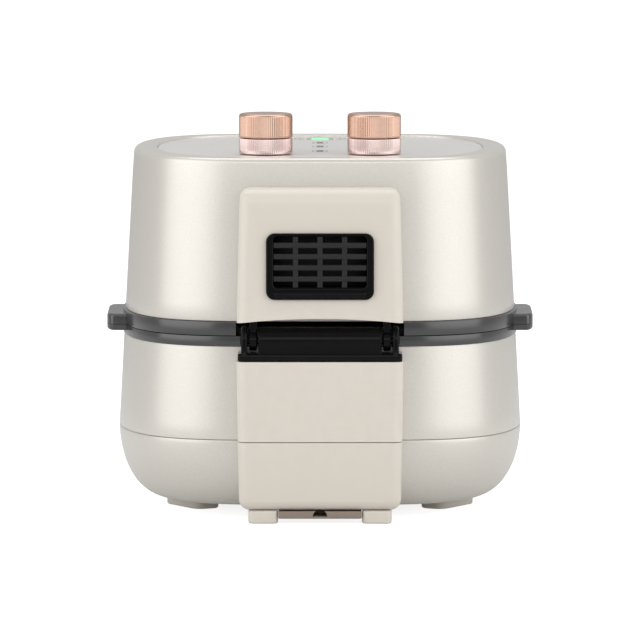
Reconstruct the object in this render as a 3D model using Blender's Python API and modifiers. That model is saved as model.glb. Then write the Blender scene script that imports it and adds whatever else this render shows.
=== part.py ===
"""Flip-top air fryer built as an assembly of separate pieces.

The lid swings up about a pin along X at the back. +X is to the right seen from the back, +Y is the
front, where the user stands, and +Z is up. The origin is on the ground at the middle of the outline.
All lengths are in metres.
"""
import math

import bmesh
import bpy
from mathutils import Matrix, Vector

MM = 0.001
FIT = 0.3 * MM                     # gap left between pieces that touch
FACETS = 40                        # sides of the large shells
STEPS = 24                         # sides of turned pieces
BOWL_STEPS = 6                     # bands down the bowl

# Outer form: a squircle plan that tapers upwards and has a bowl-shaped bottom
SEAM_HALF_WIDTH = 164.4 * MM
TOP_HALF_WIDTH = 152.2 * MM
DEPTH_CUT = 5.0 * MM               # half-depth is half-width less this
WIDE_POWER = 4.5                   # of the plan curve along X: a flat back and front
DEEP_POWER = 2.1                   # of the plan curve along Y: rounder sides
PLAN_SAMPLES = 2400
BODY_FLOOR_Z = 10.5 * MM
SEAM_Z = 66.0 * MM
SPLIT_Z = 149.75 * MM              # where the lid parts from the body
TOP_Z = 292.4 * MM
BOWL_INSET = 32.0 * MM
SEAM_GAP = 0.6 * MM
SHELL_WALL = 2.4 * MM
TOP_FILLET = 3.5 * MM

# Rim rings and the side grips on them
LOWER_RING_HEIGHT = 8.3 * MM
UPPER_RING_HEIGHT = 11.5 * MM
RING_PROUD = 1.2 * MM
RING_WIDTH = 21.0 * MM
GRIP_REACH = 12.7 * MM
GRIP_HALF_LENGTH = 48.0 * MM
GRIP_BELOW = 5.0 * MM
GRIP_ABOVE = 8.6 * MM
GRIP_CORNER = 9.0 * MM

# Lid top
LIP_WIDTH = 19.0 * MM
LEDGE_WIDTH = 6.0 * MM
PANEL_DROP = 1.2 * MM
PANEL_THICK = 2.5 * MM

# Rear box, in three parts: on the lid, on the body and below the seam
BOX_PROUD = 21.0 * MM              # how far its back face stands out of the body
BOX_TOP_HALF = 64.15 * MM
BOX_MID_HALF = 67.35 * MM
BOX_LOW_HALF = 65.0 * MM
BOX_TOP_Z = TOP_Z - 22.7 * MM
BOX_FLOOR_Z = BODY_FLOOR_Z + 0.5 * MM
BOX_FILLET = 8.5 * MM
BOX_WALL = 2.5 * MM
BOX_ARCH = 4.0 * MM

# Hinge
HINGE_Z = 147.0 * MM
HINGE_BACK = 11.5 * MM             # from the axis to the box's back face
COVER_RISE = 13.0 * MM
COVER_FLOOR_Z = 131.0 * MM
HINGE_HALF = 66.0 * MM
SLOT_INNER = 49.5 * MM
SLOT_OUTER = 58.0 * MM
SLOT_DEPTH = 9.5 * MM
PIN_RADIUS = 3.0 * MM
PIN_PLAY = 0.3 * MM
ARM_THICK = 6.0 * MM
ARM_EYE = 8.0 * MM
ARM_LEG_HALF = 4.0 * MM
ARM_RISE = 44.0 * MM
SPRING_WIRE = 1.6 * MM
SPRING_TURNS = 5
SPRING_HALF = 20.0 * MM

# Vent in the rear box
VENT_HALF_WIDTH = 43.3 * MM
VENT_LOW_Z = 181.0 * MM
VENT_HEIGHT = 53.6 * MM
VENT_SIDE_RIM = 5.9 * MM
VENT_TOP_RIM = 2.6 * MM
VENT_SILL = 9.8 * MM
VENT_PROUD = 3.0 * MM
VENT_CORNER = 6.0 * MM
VENT_HOLE_CORNER = 2.0 * MM
VENT_COLUMNS = 4
VENT_ROWS = 5
GRILLE_BAR_WIDE = 4.3 * MM
GRILLE_BAR_HIGH = 4.4 * MM
GRILLE_THICK = 3.0 * MM
GRILLE_INSET = 0.6 * MM            # of its back into the box
DUCT_WALL = 1.5 * MM
DUCT_LENGTH = 42.0 * MM

# Knobs
KNOB_X = 43.9 * MM
KNOB_Y = -80.0 * MM
KNOB_RADIUS = 21.7 * MM
COLLAR_HEIGHT = 12.4 * MM
CAP_HEIGHT = 19.2 * MM
KNOB_GAP = 0.8 * MM
SPINDLE_RADIUS = 3.0 * MM
CONTROL_RADIUS = 12.0 * MM
CONTROL_HEIGHT = 12.0 * MM

# Display
DISPLAY_Y = 96.0 * MM
DISPLAY_SIZE = (21.0 * MM, 30.0 * MM)

# Cooking space
POT_WALL = 1.6 * MM
POT_TAPER = 12.0 * MM
POT_FLOOR_Z = 31.0 * MM
POT_RIM = 7.0 * MM
LINER_FLOOR_Z = 22.0 * MM
LINER_WALL = 1.2 * MM
TRAY_Z = 44.0 * MM
TRAY_THICK = 2.0 * MM
TRAY_SLOT = (38.0 * MM, 8.0 * MM)
TRAY_PITCH = (56.0 * MM, 30.0 * MM)
GASKET_WIDTH = 5.6 * MM
DISH_RISE = 29.0 * MM
DISH_TAPER = 11.0 * MM
FAN_RADIUS = 48.0 * MM
FAN_BLADES = 8
FAN_BLADE_HEIGHT = 9.0 * MM
ELEMENT_RADIUS = (60.0 * MM, 92.0 * MM)
ELEMENT_TUBE = 3.2 * MM
ELEMENT_TURNS = 2
GUARD_WIRE = 1.6 * MM
GUARD_RADII = (28.0 * MM, 66.0 * MM, 104.0 * MM)
SHAFT_RADIUS = 3.0 * MM
MOTOR_RADIUS = 28.0 * MM
MOTOR_HEIGHT = 36.0 * MM
COOLING_FAN_RADIUS = 40.0 * MM
COOLING_FAN_HEIGHT = 10.0 * MM

# Underside
FOOT_X = 45.7 * MM
REAR_FOOT_SIZE = (24.0 * MM, 17.0 * MM)
REAR_FOOT_INSET = 3.0 * MM
REAR_FOOT_CORNER = 4.0 * MM
SIDE_FEET = {                      # place and turn of the long feet that follow the rim
    "middle": ((104.0 * MM, -38.0 * MM), -30.0),
    "front": ((102.0 * MM, 46.0 * MM), 34.0),
}
SIDE_FOOT_SIZE = (24.0 * MM, 56.0 * MM)
SIDE_FOOT_CORNER = 8.0 * MM
PLATE_HALF = 84.0 * MM
TONGUE_HALF = 33.5 * MM
PLATE_THICK = 6.0 * MM
CORD_NOTCH = 5.8 * MM
CORD_SILL = 1.7 * MM                # plate left under the cord's way out
CORD_NOTCH_DEPTH = 22.0 * MM
TONGUE_INSET = 2.5 * MM
SCREW_SPOT = (56.0 * MM, 42.0 * MM)
SCREW_HEAD = 3.5 * MM
SCREW_HEAD_HEIGHT = 2.0 * MM
SCREW_LENGTH = 8.0 * MM
TERMINAL_SIZE = (28.0 * MM, 14.0 * MM, 19.2 * MM)
TERMINAL_X = 20.0 * MM
SWITCH_SIZE = (20.0 * MM, 8.0 * MM, 16.0 * MM)
SWITCH_X = -34.0 * MM
BOX_PART_GAP = 1.0 * MM
SCREW_SHANK = 1.5 * MM

LID_HANDLE_HALF = 46.0 * MM
LID_HANDLE_REACH = 25.8 * MM
LID_HANDLE_HEIGHT = 17.0 * MM

FINISHES = {                       # colour, roughness, metallic
    "pearl": ((0.78, 0.76, 0.70), 0.30, 0.20),
    "cream": ((0.66, 0.60, 0.53), 0.55, 0.0),
    "taupe": ((0.26, 0.21, 0.17), 0.60, 0.0),
    "charcoal": ((0.05, 0.05, 0.05), 0.42, 0.0),
    "black": ((0.012, 0.012, 0.012), 0.50, 0.0),
    "rose_gold": ((0.86, 0.58, 0.45), 0.28, 1.0),
    "panel": ((0.62, 0.59, 0.56), 0.40, 0.1),
    "steel": ((0.55, 0.55, 0.55), 0.35, 1.0),
    "nonstick": ((0.03, 0.03, 0.03), 0.45, 0.0),
    "silicone": ((0.10, 0.10, 0.10), 0.75, 0.0),
    "green_lens": ((0.05, 0.60, 0.22), 0.20, 0.0),
    "circuit": ((0.03, 0.18, 0.08), 0.60, 0.0),
}


def side_half_width(z):
    """Half-width of the painted body at height z: a straight taper above the seam, a bowl below it."""
    if z >= SEAM_Z:
        share = (z - SEAM_Z) / (TOP_Z - SEAM_Z)
        return SEAM_HALF_WIDTH + (TOP_HALF_WIDTH - SEAM_HALF_WIDTH) * share
    drop = min((SEAM_Z - z) / (SEAM_Z - BODY_FLOOR_Z), 1.0)
    return SEAM_HALF_WIDTH - BOWL_INSET * (1.0 - math.sqrt(1.0 - drop * drop))


def plan_depth(half_width, x):
    """Distance from the middle to the plan's edge along Y, at offset x."""
    ratio = min(abs(x) / half_width, 1.0)
    return (half_width - DEPTH_CUT) * (1.0 - ratio ** WIDE_POWER) ** (1.0 / DEEP_POWER)


def plan_point(half_width, angle):
    """Point of the plan at an angle of its curve."""
    c, s = math.cos(angle), math.sin(angle)
    return (half_width * math.copysign(abs(c) ** (2.0 / WIDE_POWER), c),
            (half_width - DEPTH_CUT) * math.copysign(abs(s) ** (2.0 / DEEP_POWER), s))


def plan_angles(facets):
    """Angles that share the plan's length and its turning evenly among the facets."""
    quarter = PLAN_SAMPLES // 4
    samples = [math.pi / 2.0 * number / quarter for number in range(quarter + 1)]
    points = [Vector(plan_point(SEAM_HALF_WIDTH, angle)) for angle in samples]
    runs = [after - before for before, after in zip(points, points[1:])]
    length = sum(run.length for run in runs)
    shares, total = [0.0], 0.0
    for number, run in enumerate(runs):
        turn = run.angle(runs[number - 1]) if number else 0.0
        total += run.length / length + turn / (math.pi / 2.0)
        shares.append(total)
    wanted = facets // 4
    first = [min(range(quarter + 1), key=lambda number: abs(shares[number] - total * step / wanted))
             for step in range(wanted)]
    first = [samples[number] for number in first]
    mirrored = [math.pi / 2.0] + [math.pi - angle for angle in reversed(first[1:])]
    half = first + mirrored
    return half + [math.pi + angle for angle in half]


RING_HALF = side_half_width(SPLIT_Z) + RING_PROUD
RING_INNER = RING_HALF - RING_WIDTH
RING_FLOOR_Z = SPLIT_Z - LOWER_RING_HEIGHT
RING_TOP_Z = SPLIT_Z + UPPER_RING_HEIGHT
BOX_BACK_Y = -(RING_HALF - DEPTH_CUT + BOX_PROUD)
HINGE_Y = BOX_BACK_Y + HINGE_BACK
PANEL_TOP_Z = TOP_Z - PANEL_DROP
PANEL_HALF = TOP_HALF_WIDTH - LIP_WIDTH - FIT
PIN_BORE = PIN_RADIUS + PIN_PLAY
KNOB_FLOOR_Z = PANEL_TOP_Z + KNOB_GAP
CAP_FLOOR_Z = KNOB_FLOOR_Z + COLLAR_HEIGHT + KNOB_GAP
DISH_FLOOR_Z = RING_TOP_Z + FIT
DISH_TOP_Z = DISH_FLOOR_Z + DISH_RISE
MOTOR_FLOOR_Z = DISH_TOP_Z + 6.0 * MM
PLATE_TOP_Z = BODY_FLOOR_Z - FIT

PARTS = None
CUTTERS = None
AXES = {}


# ---------------------------------------------------------------- helpers

def start_scene():
    """Remove what is in the scene and make the collections and the joint axes' empties."""
    global PARTS, CUTTERS
    for obj in list(bpy.data.objects):
        bpy.data.objects.remove(obj, do_unlink=True)
    PARTS = bpy.data.collections.new("air_fryer")
    CUTTERS = bpy.data.collections.new("cutters")
    for collection in (PARTS, CUTTERS):
        bpy.context.scene.collection.children.link(collection)
    places = {
        "lid": (None, (0.0, HINGE_Y, HINGE_Z)),
        "rotor": ("lid", (0.0, 0.0, MOTOR_FLOOR_Z)),
        "temperature_knob": ("lid", (KNOB_X, KNOB_Y, KNOB_FLOOR_Z)),
        "timer_knob": ("lid", (-KNOB_X, KNOB_Y, KNOB_FLOOR_Z)),
    }
    for body, (parent, place) in places.items():
        axis = bpy.data.objects.new(body + "_axis", None)
        axis.empty_display_size = 0.03
        axis.location = place
        PARTS.objects.link(axis)
        AXES[body] = axis
        if parent:
            attach(axis, parent)


def attach(obj, body):
    """Parent obj to a joint's empty and keep it where it is."""
    bpy.context.view_layer.update()
    obj.parent = AXES[body]
    obj.matrix_parent_inverse = AXES[body].matrix_world.inverted()


def finish_part(obj, finish, body=None, smooth=True):
    """Give a part its material, its collection and the body that it moves with."""
    colour, roughness, metallic = FINISHES[finish]
    material = bpy.data.materials.new(obj.name)
    material.use_nodes = True
    shader = material.node_tree.nodes["Principled BSDF"]
    shader.inputs["Base Color"].default_value = (*colour, 1.0)
    shader.inputs["Roughness"].default_value = roughness
    shader.inputs["Metallic"].default_value = metallic
    obj.data.materials.append(material)
    if smooth and obj.type == "MESH":
        obj.data.shade_smooth()
        obj.data.set_sharp_from_angle(angle=math.radians(32.0))
    PARTS.objects.link(obj)
    if body:
        attach(obj, body)
    return obj


def as_cutter(obj):
    """Mark an object as a tool that only cuts or joins."""
    obj.display_type = "WIRE"
    obj.hide_render = True
    CUTTERS.objects.link(obj)
    return obj


def combine(obj, tool, operation="DIFFERENCE"):
    """Cut obj with tool, or join tool to it."""
    if tool.name not in CUTTERS.objects:
        as_cutter(tool)
    modifier = obj.modifiers.new(tool.name, "BOOLEAN")
    modifier.operation = operation
    modifier.object = tool
    modifier.solver = "EXACT"
    return obj


def mesh_object(name, bm):
    mesh = bpy.data.meshes.new(name)
    bm.to_mesh(mesh)
    bm.free()
    return bpy.data.objects.new(name, mesh)


def plan_skin(name, profile, cap_first=False, cap_last=False, closed=False, facets=FACETS):
    """Loft the squircle plan through each (half_width, z) of a profile that runs upwards outside."""
    bm = bmesh.new()
    angles = plan_angles(facets)
    rings = [[bm.verts.new((*plan_point(half_width, angle), z)) for angle in angles]
             for half_width, z in profile]
    pairs = list(zip(rings, rings[1:]))
    if closed:
        pairs.append((rings[-1], rings[0]))
    for low, high in pairs:
        for step in range(facets):
            after = (step + 1) % facets
            bm.faces.new((low[step], low[after], high[after], high[step]))
    if cap_first:
        bm.faces.new(list(reversed(rings[0])))
    if cap_last:
        bm.faces.new(rings[-1])
    return mesh_object(name, bm)


def solidify(obj, thickness):
    """Give an open outer surface its wall, inwards."""
    modifier = obj.modifiers.new("wall", "SOLIDIFY")
    modifier.thickness = thickness
    modifier.offset = -1.0
    modifier.use_even_offset = True
    return obj


def turned(name, profile, closed=False, steps=STEPS, place=(0.0, 0.0)):
    """Turn a profile of (radius, z) about Z; it runs down its outer side."""
    bm = bmesh.new()
    verts = [bm.verts.new((radius, 0.0, z)) for radius, z in profile]
    for first, second in zip(verts, verts[1:]):
        bm.edges.new((first, second))
    if closed:
        bm.edges.new((verts[-1], verts[0]))
    obj = mesh_object(name, bm)
    screw = obj.modifiers.new("turn", "SCREW")
    screw.axis = "Z"
    screw.steps = steps
    screw.render_steps = steps
    screw.use_merge_vertices = True
    screw.merge_threshold = 0.00001
    screw.use_smooth_shade = False
    obj.location = (place[0], place[1], 0.0)
    return obj


def ring_profile(inner, outer, low, high):
    return [(outer, high), (outer, low), (inner, low), (inner, high)]


def block_bmesh(bm, low, high):
    """Add one box between two corners to a bmesh and give back its vertices."""
    low, high = Vector(low), Vector(high)
    made = bmesh.ops.create_cube(bm, size=1.0)["verts"]
    centre, size = (low + high) / 2.0, high - low
    for vert in made:
        vert.co = centre + Vector(vert.co[axis] * size[axis] for axis in range(3))
    return made


def blocks(name, corners):
    """One object of separate boxes, each given by its two corners."""
    bm = bmesh.new()
    for low, high in corners:
        block_bmesh(bm, low, high)
    return mesh_object(name, bm)


def rods(name, spots, radius, low, high, axis="Z", sides=16):
    """One object of parallel cylinders; spots are places across the axis."""
    bm = bmesh.new()
    turn = Matrix.Rotation(math.radians(90.0), 4, "Y") if axis == "X" else Matrix.Identity(4)
    if axis == "Y":
        turn = Matrix.Rotation(math.radians(90.0), 4, "X")
    for first, second in spots:
        middle = (low + high) / 2.0
        place = {"Z": (first, second, middle), "X": (middle, first, second), "Y": (first, middle, second)}
        bmesh.ops.create_cone(
            bm, cap_ends=True, segments=sides, radius1=radius, radius2=radius, depth=high - low,
            matrix=Matrix.Translation(place[axis]) @ turn)
    return mesh_object(name, bm)


def rounded_outline(width, height, radius, centre=(0.0, 0.0), steps=4):
    """Points of a rectangle with round corners, anticlockwise."""
    points = []
    for corner, (sx, sy) in enumerate(((1, 1), (-1, 1), (-1, -1), (1, -1))):
        for step in range(steps + 1):
            angle = math.radians(90.0 * (corner + step / steps))
            points.append((
                centre[0] + sx * (width / 2.0 - radius) + radius * math.cos(angle),
                centre[1] + sy * (height / 2.0 - radius) + radius * math.sin(angle)))
    return points


def turned_outline(outline, degrees, place):
    """The same outline turned about the middle and then moved to its place."""
    c, s = math.cos(math.radians(degrees)), math.sin(math.radians(degrees))
    return [(place[0] + u * c - v * s, place[1] + u * s + v * c) for u, v in outline]


def arc_outline(centre, radii, start, end, steps):
    """Points on an elliptical arc between two angles in degrees."""
    points = []
    for step in range(steps + 1):
        angle = math.radians(start + (end - start) * step / steps)
        points.append((centre[0] + radii[0] * math.cos(angle), centre[1] + radii[1] * math.sin(angle)))
    return points


FACINGS = {
    "Z": Matrix.Identity(4),
    "Y": Matrix.Rotation(math.radians(90.0), 4, "X"),
    "X": Matrix(((0, 0, 1, 0), (1, 0, 0, 0), (0, 1, 0, 0), (0, 0, 0, 1))),
}


def plate(name, outlines, low, high, facing="Z"):
    """A flat outline, with holes if it has more outlines, filled and extruded between two heights."""
    curve = bpy.data.curves.new(name + "_outline", "CURVE")
    curve.dimensions = "2D"
    curve.fill_mode = "BOTH"
    curve.extrude = (high - low) / 2.0
    for outline in outlines:
        spline = curve.splines.new("POLY")
        spline.points.add(len(outline) - 1)
        for point, (u, v) in zip(spline.points, outline):
            point.co = (u, v, 0.0, 1.0)
        spline.use_cyclic_u = True
    drawn = bpy.data.objects.new(name + "_outline", curve)
    bpy.context.scene.collection.objects.link(drawn)
    bpy.context.view_layer.update()
    graph = bpy.context.evaluated_depsgraph_get()
    mesh = bpy.data.meshes.new_from_object(drawn.evaluated_get(graph))
    bpy.data.objects.remove(drawn, do_unlink=True)
    bm = bmesh.new()
    bm.from_mesh(mesh)
    bmesh.ops.remove_doubles(bm, verts=bm.verts, dist=0.000001)
    bmesh.ops.recalc_face_normals(bm, faces=bm.faces)
    bm.to_mesh(mesh)
    bm.free()
    mesh.materials.clear()
    obj = bpy.data.objects.new(name, mesh)
    middle = (low + high) / 2.0
    offset = {"Z": (0.0, 0.0, middle), "Y": (0.0, middle, 0.0), "X": (middle, 0.0, 0.0)}[facing]
    obj.matrix_world = Matrix.Translation(offset) @ FACINGS[facing]
    return obj


def wire(name, points, radius):
    """A round wire or tube along a row of points."""
    curve = bpy.data.curves.new(name, "CURVE")
    curve.dimensions = "3D"
    curve.bevel_depth = radius
    curve.bevel_resolution = 2
    curve.use_fill_caps = True
    spline = curve.splines.new("POLY")
    spline.points.add(len(points) - 1)
    for point, place in zip(spline.points, points):
        point.co = (*place, 1.0)
    return bpy.data.objects.new(name, curve)


# ---------------------------------------------------------------- painted shells

def bowl_heights():
    """Heights down the bowl, closer together where it curves most."""
    depth = SEAM_Z - BODY_FLOOR_Z
    angles = [math.radians(90.0 * step / BOWL_STEPS) for step in range(BOWL_STEPS, -1, -1)]
    return [SEAM_Z - depth * math.sin(angle) for angle in angles]


def make_base_tub():
    top = SEAM_Z - SEAM_GAP / 2.0
    profile = [(side_half_width(z), z) for z in bowl_heights() if z < top]
    profile.append((side_half_width(top), top))
    tub = solidify(plan_skin("base_tub", profile, cap_first=True), SHELL_WALL)
    combine(tub, rods("tub_screw_holes", screw_spots(), SCREW_SHANK + FIT, 0.0, SEAM_Z / 2.0, sides=10))
    finish_part(tub, "pearl")


def make_body_shell():
    low, high = SEAM_Z + SEAM_GAP / 2.0, RING_FLOOR_Z - FIT
    heights = (low, (low + high) / 2.0, high)
    shell = plan_skin("body_shell", [(side_half_width(z), z) for z in heights])
    finish_part(solidify(shell, SHELL_WALL), "pearl")


def make_lid_shell():
    low = RING_TOP_Z + FIT
    profile = [(side_half_width(low), low), (side_half_width((low + TOP_Z) / 2.0), (low + TOP_Z) / 2.0)]
    centre = (side_half_width(TOP_Z) - TOP_FILLET, TOP_Z - TOP_FILLET)
    profile += arc_outline(centre, (TOP_FILLET, TOP_FILLET), 0.0, 90.0, 2)
    lip = PANEL_HALF + FIT
    ledge_z = PANEL_TOP_Z - PANEL_THICK - FIT
    profile += [(lip, TOP_Z), (lip, ledge_z), (lip - LEDGE_WIDTH, ledge_z)]
    shell = solidify(plan_skin("lid_shell", profile), SHELL_WALL)
    window = duct_outline(FIT)
    back = -plan_depth(side_half_width(VENT_LOW_Z), 0.0)
    opening = plate("lid_duct_window", [window], back - 10.0 * MM, back + 20.0 * MM, "Y")
    finish_part(combine(shell, opening), "pearl", "lid")


def lid_space():
    """The room that the lid takes, for pieces seated against its back."""
    heights = (RING_TOP_Z - 5.0 * MM, TOP_Z)
    profile = [(side_half_width(z) + FIT, z) for z in heights]
    return plan_skin("lid_space", profile, cap_first=True, cap_last=True)


def body_space():
    """The room that the body and the lower ring take, for pieces seated against their back."""
    profile = [(side_half_width(z) + FIT, z - FIT) for z in bowl_heights()]
    step_z = RING_FLOOR_Z - FIT
    profile += [(side_half_width(step_z) + FIT, step_z), (RING_HALF + FIT, step_z)]
    profile.append((RING_HALF + FIT, SPLIT_Z + FIT))
    return plan_skin("body_space", profile, cap_first=True, cap_last=True)


# ---------------------------------------------------------------- rim rings

def grip_tool(name, side, low, high):
    """A side grip, rounded at its outer corners, reaching into the ring."""
    reach = RING_HALF + GRIP_REACH
    inner = RING_HALF - RING_WIDTH / 3.0
    outline = rounded_outline(2.0 * (reach - inner), 2.0 * GRIP_HALF_LENGTH, GRIP_CORNER, (inner, 0.0), 3)
    outline = [(side * max(u, inner), v) for u, v in outline]
    if side < 0:
        outline.reverse()
    return plate(name, [trimmed(outline)], low, high)


def trimmed(outline):
    """The same outline without points that fall on each other or inside a straight run."""
    kept = []
    for index, point in enumerate(outline):
        before, after = outline[index - 1], outline[(index + 1) % len(outline)]
        turn = (point[0] - before[0]) * (after[1] - point[1]) - (point[1] - before[1]) * (after[0] - point[0])
        if abs(turn) > 1e-12:
            kept.append(point)
    return kept


def make_rings():
    low, high = RING_FLOOR_Z, SPLIT_Z - FIT / 2.0
    profile = [(RING_HALF, low), (RING_HALF, high), (RING_INNER, high), (RING_INNER, low)]
    ring = plan_skin("pot_rim_ring", profile, closed=True)
    for side in (-1, 1):
        combine(ring, grip_tool(f"lower_grip_{side}", side, SPLIT_Z - GRIP_BELOW, high), "UNION")
    finish_part(ring, "charcoal")

    low, high = SPLIT_Z + FIT / 2.0, RING_TOP_Z
    profile = [(RING_HALF, low), (RING_HALF, high), (RING_INNER, high), (RING_INNER, low)]
    ring = plan_skin("lid_ring", profile, closed=True)
    for side in (-1, 1):
        combine(ring, grip_tool(f"upper_grip_{side}", side, low, SPLIT_Z + GRIP_ABOVE), "UNION")
    notch = blocks("hinge_notch", [((-BOX_MID_HALF - FIT, BOX_BACK_Y, low - FIT * 4),
                                    (BOX_MID_HALF + FIT, -RING_INNER / 2.0, high + FIT * 4))])
    combine(ring, notch)
    finish_part(ring, "charcoal", "lid")


# ---------------------------------------------------------------- rear box

def rounded_block(name, halves, y_span, z_span, radius, round_top=False, round_bottom=False):
    """A box whose sides taper from halves[0] at the bottom to halves[1] at the top.

    Its upright back edges are rounded, and its top or bottom edges too where asked.
    """
    bm = bmesh.new()
    block_bmesh(bm, (-halves[0], y_span[0], z_span[0]), (halves[0], y_span[1], z_span[1]))
    middle = sum(z_span) / 2.0
    for vert in bm.verts:
        if vert.co.z > middle:
            vert.co.x *= halves[1] / halves[0]
    chosen = []
    for edge in bm.edges:
        first, second = (vert.co for vert in edge.verts)
        at_back = max(first.y, second.y) < y_span[0] + 0.001 * MM
        upright = abs(first.z - second.z) > 1.0 * MM
        at_front = min(first.y, second.y) > y_span[1] - 0.001 * MM
        top = min(first.z, second.z) > middle
        bottom = max(first.z, second.z) < middle
        if (at_back and upright) or (not at_front and ((round_top and top) or (round_bottom and bottom))):
            chosen.append(edge)
    if radius > 0.0:
        bmesh.ops.bevel(bm, geom=chosen, offset=radius, segments=4, profile=0.5, affect="EDGES",
                        clamp_overlap=True)
    return mesh_object(name, bm)


def box_half(z):
    """Half-width of the rear box at height z."""
    if z >= HINGE_Z:
        return BOX_MID_HALF + (BOX_TOP_HALF - BOX_MID_HALF) * (z - HINGE_Z) / (BOX_TOP_Z - HINGE_Z)
    return BOX_LOW_HALF + (BOX_MID_HALF - BOX_LOW_HALF) * (z - BOX_FLOOR_Z) / (HINGE_Z - BOX_FLOOR_Z)


def hollow_box(name, z_span, closed_top, closed_bottom, front_y):
    """One part of the rear box: open to the front, with a wall all round its outside."""
    low, high = z_span
    outer = rounded_block(name, (box_half(low), box_half(high)), (BOX_BACK_Y, front_y), z_span, BOX_FILLET,
                          closed_top, closed_bottom)
    past = 5.0 * MM
    inner_low = low + BOX_WALL if closed_bottom else low - past
    inner_high = high - BOX_WALL if closed_top else high + past
    inner = rounded_block(
        name + "_hollow", (box_half(low) - BOX_WALL, box_half(high) - BOX_WALL),
        (BOX_BACK_Y + BOX_WALL, front_y + past), (inner_low, inner_high), BOX_FILLET - BOX_WALL,
        closed_top, closed_bottom)
    return combine(outer, inner)


def make_rear_box():
    low, high = RING_TOP_Z + FIT, BOX_TOP_Z
    front_y = -plan_depth(side_half_width(high), BOX_TOP_HALF) + 20.0 * MM
    upper = rounded_block("rear_housing_upper", (box_half(low), box_half(high)), (BOX_BACK_Y, front_y),
                          (low, high), BOX_FILLET, round_top=True)
    floor_z = low + BOX_ARCH + BOX_WALL
    hollow = rounded_block(
        "upper_hollow", (box_half(floor_z) - BOX_WALL, box_half(high) - BOX_WALL),
        (BOX_BACK_Y + BOX_WALL, front_y + 5.0 * MM), (floor_z, high - BOX_WALL), BOX_FILLET - BOX_WALL,
        round_top=True)
    combine(upper, hollow)
    combine(upper, lid_space())
    chord = BOX_MID_HALF + 1.0 * MM
    arch_radius = (chord ** 2 + BOX_ARCH ** 2) / (2.0 * BOX_ARCH)
    half_angle = math.degrees(math.asin(chord / arch_radius))
    arch = arc_outline((0.0, low + BOX_ARCH - arch_radius), (arch_radius, arch_radius),
                       90.0 - half_angle, 90.0 + half_angle, 12)
    arch += [(-chord, low - 5.0 * MM), (chord, low - 5.0 * MM)]
    combine(upper, plate("lower_arch", [arch], BOX_BACK_Y - 5.0 * MM, front_y + 10.0 * MM, "Y"))
    window = plate("vent_window", [duct_outline(FIT)], BOX_BACK_Y - 5.0 * MM,
                   BOX_BACK_Y + BOX_WALL + 2.0 * MM, "Y")
    combine(upper, window)
    legs = []
    for side in (-1, 1):
        x = side * (SLOT_INNER + SLOT_OUTER) / 2.0
        legs.append(((x - ARM_THICK / 2.0 - FIT, HINGE_Y - ARM_LEG_HALF - FIT, low - 1.0 * MM),
                     (x + ARM_THICK / 2.0 + FIT, HINGE_Y + ARM_LEG_HALF + FIT, floor_z + 1.0 * MM)))
    combine(upper, blocks("arm_holes", legs))
    finish_part(upper, "cream", "lid")

    space = body_space()
    front_y = -plan_depth(side_half_width(SEAM_Z), BOX_MID_HALF) + 30.0 * MM
    z_span = (SEAM_Z + SEAM_GAP / 2.0, COVER_FLOOR_Z - FIT)
    middle = hollow_box("rear_housing_lower", z_span, False, False, front_y)
    finish_part(combine(middle, space), "cream")

    front_y = -plan_depth(side_half_width(BODY_FLOOR_Z), BOX_LOW_HALF) + 20.0 * MM
    base = hollow_box("rear_housing_base", (BOX_FLOOR_Z, SEAM_Z - SEAM_GAP / 2.0), False, True, front_y)
    combine(base, space)
    combine(base, cord_notch("base_cord_notch"))
    finish_part(base, "cream")
    return space


def cord_notch(name):
    """The half-round passage that a mains lead would leave by."""
    sill = PLATE_TOP_Z - PLATE_THICK + CORD_SILL
    outline = arc_outline((0.0, sill), (CORD_NOTCH, CORD_NOTCH), 0.0, 180.0, 12)
    return plate(name, [outline], BOX_BACK_Y - TONGUE_INSET, BOX_BACK_Y + CORD_NOTCH_DEPTH, "Y")


# ---------------------------------------------------------------- hinge

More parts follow.
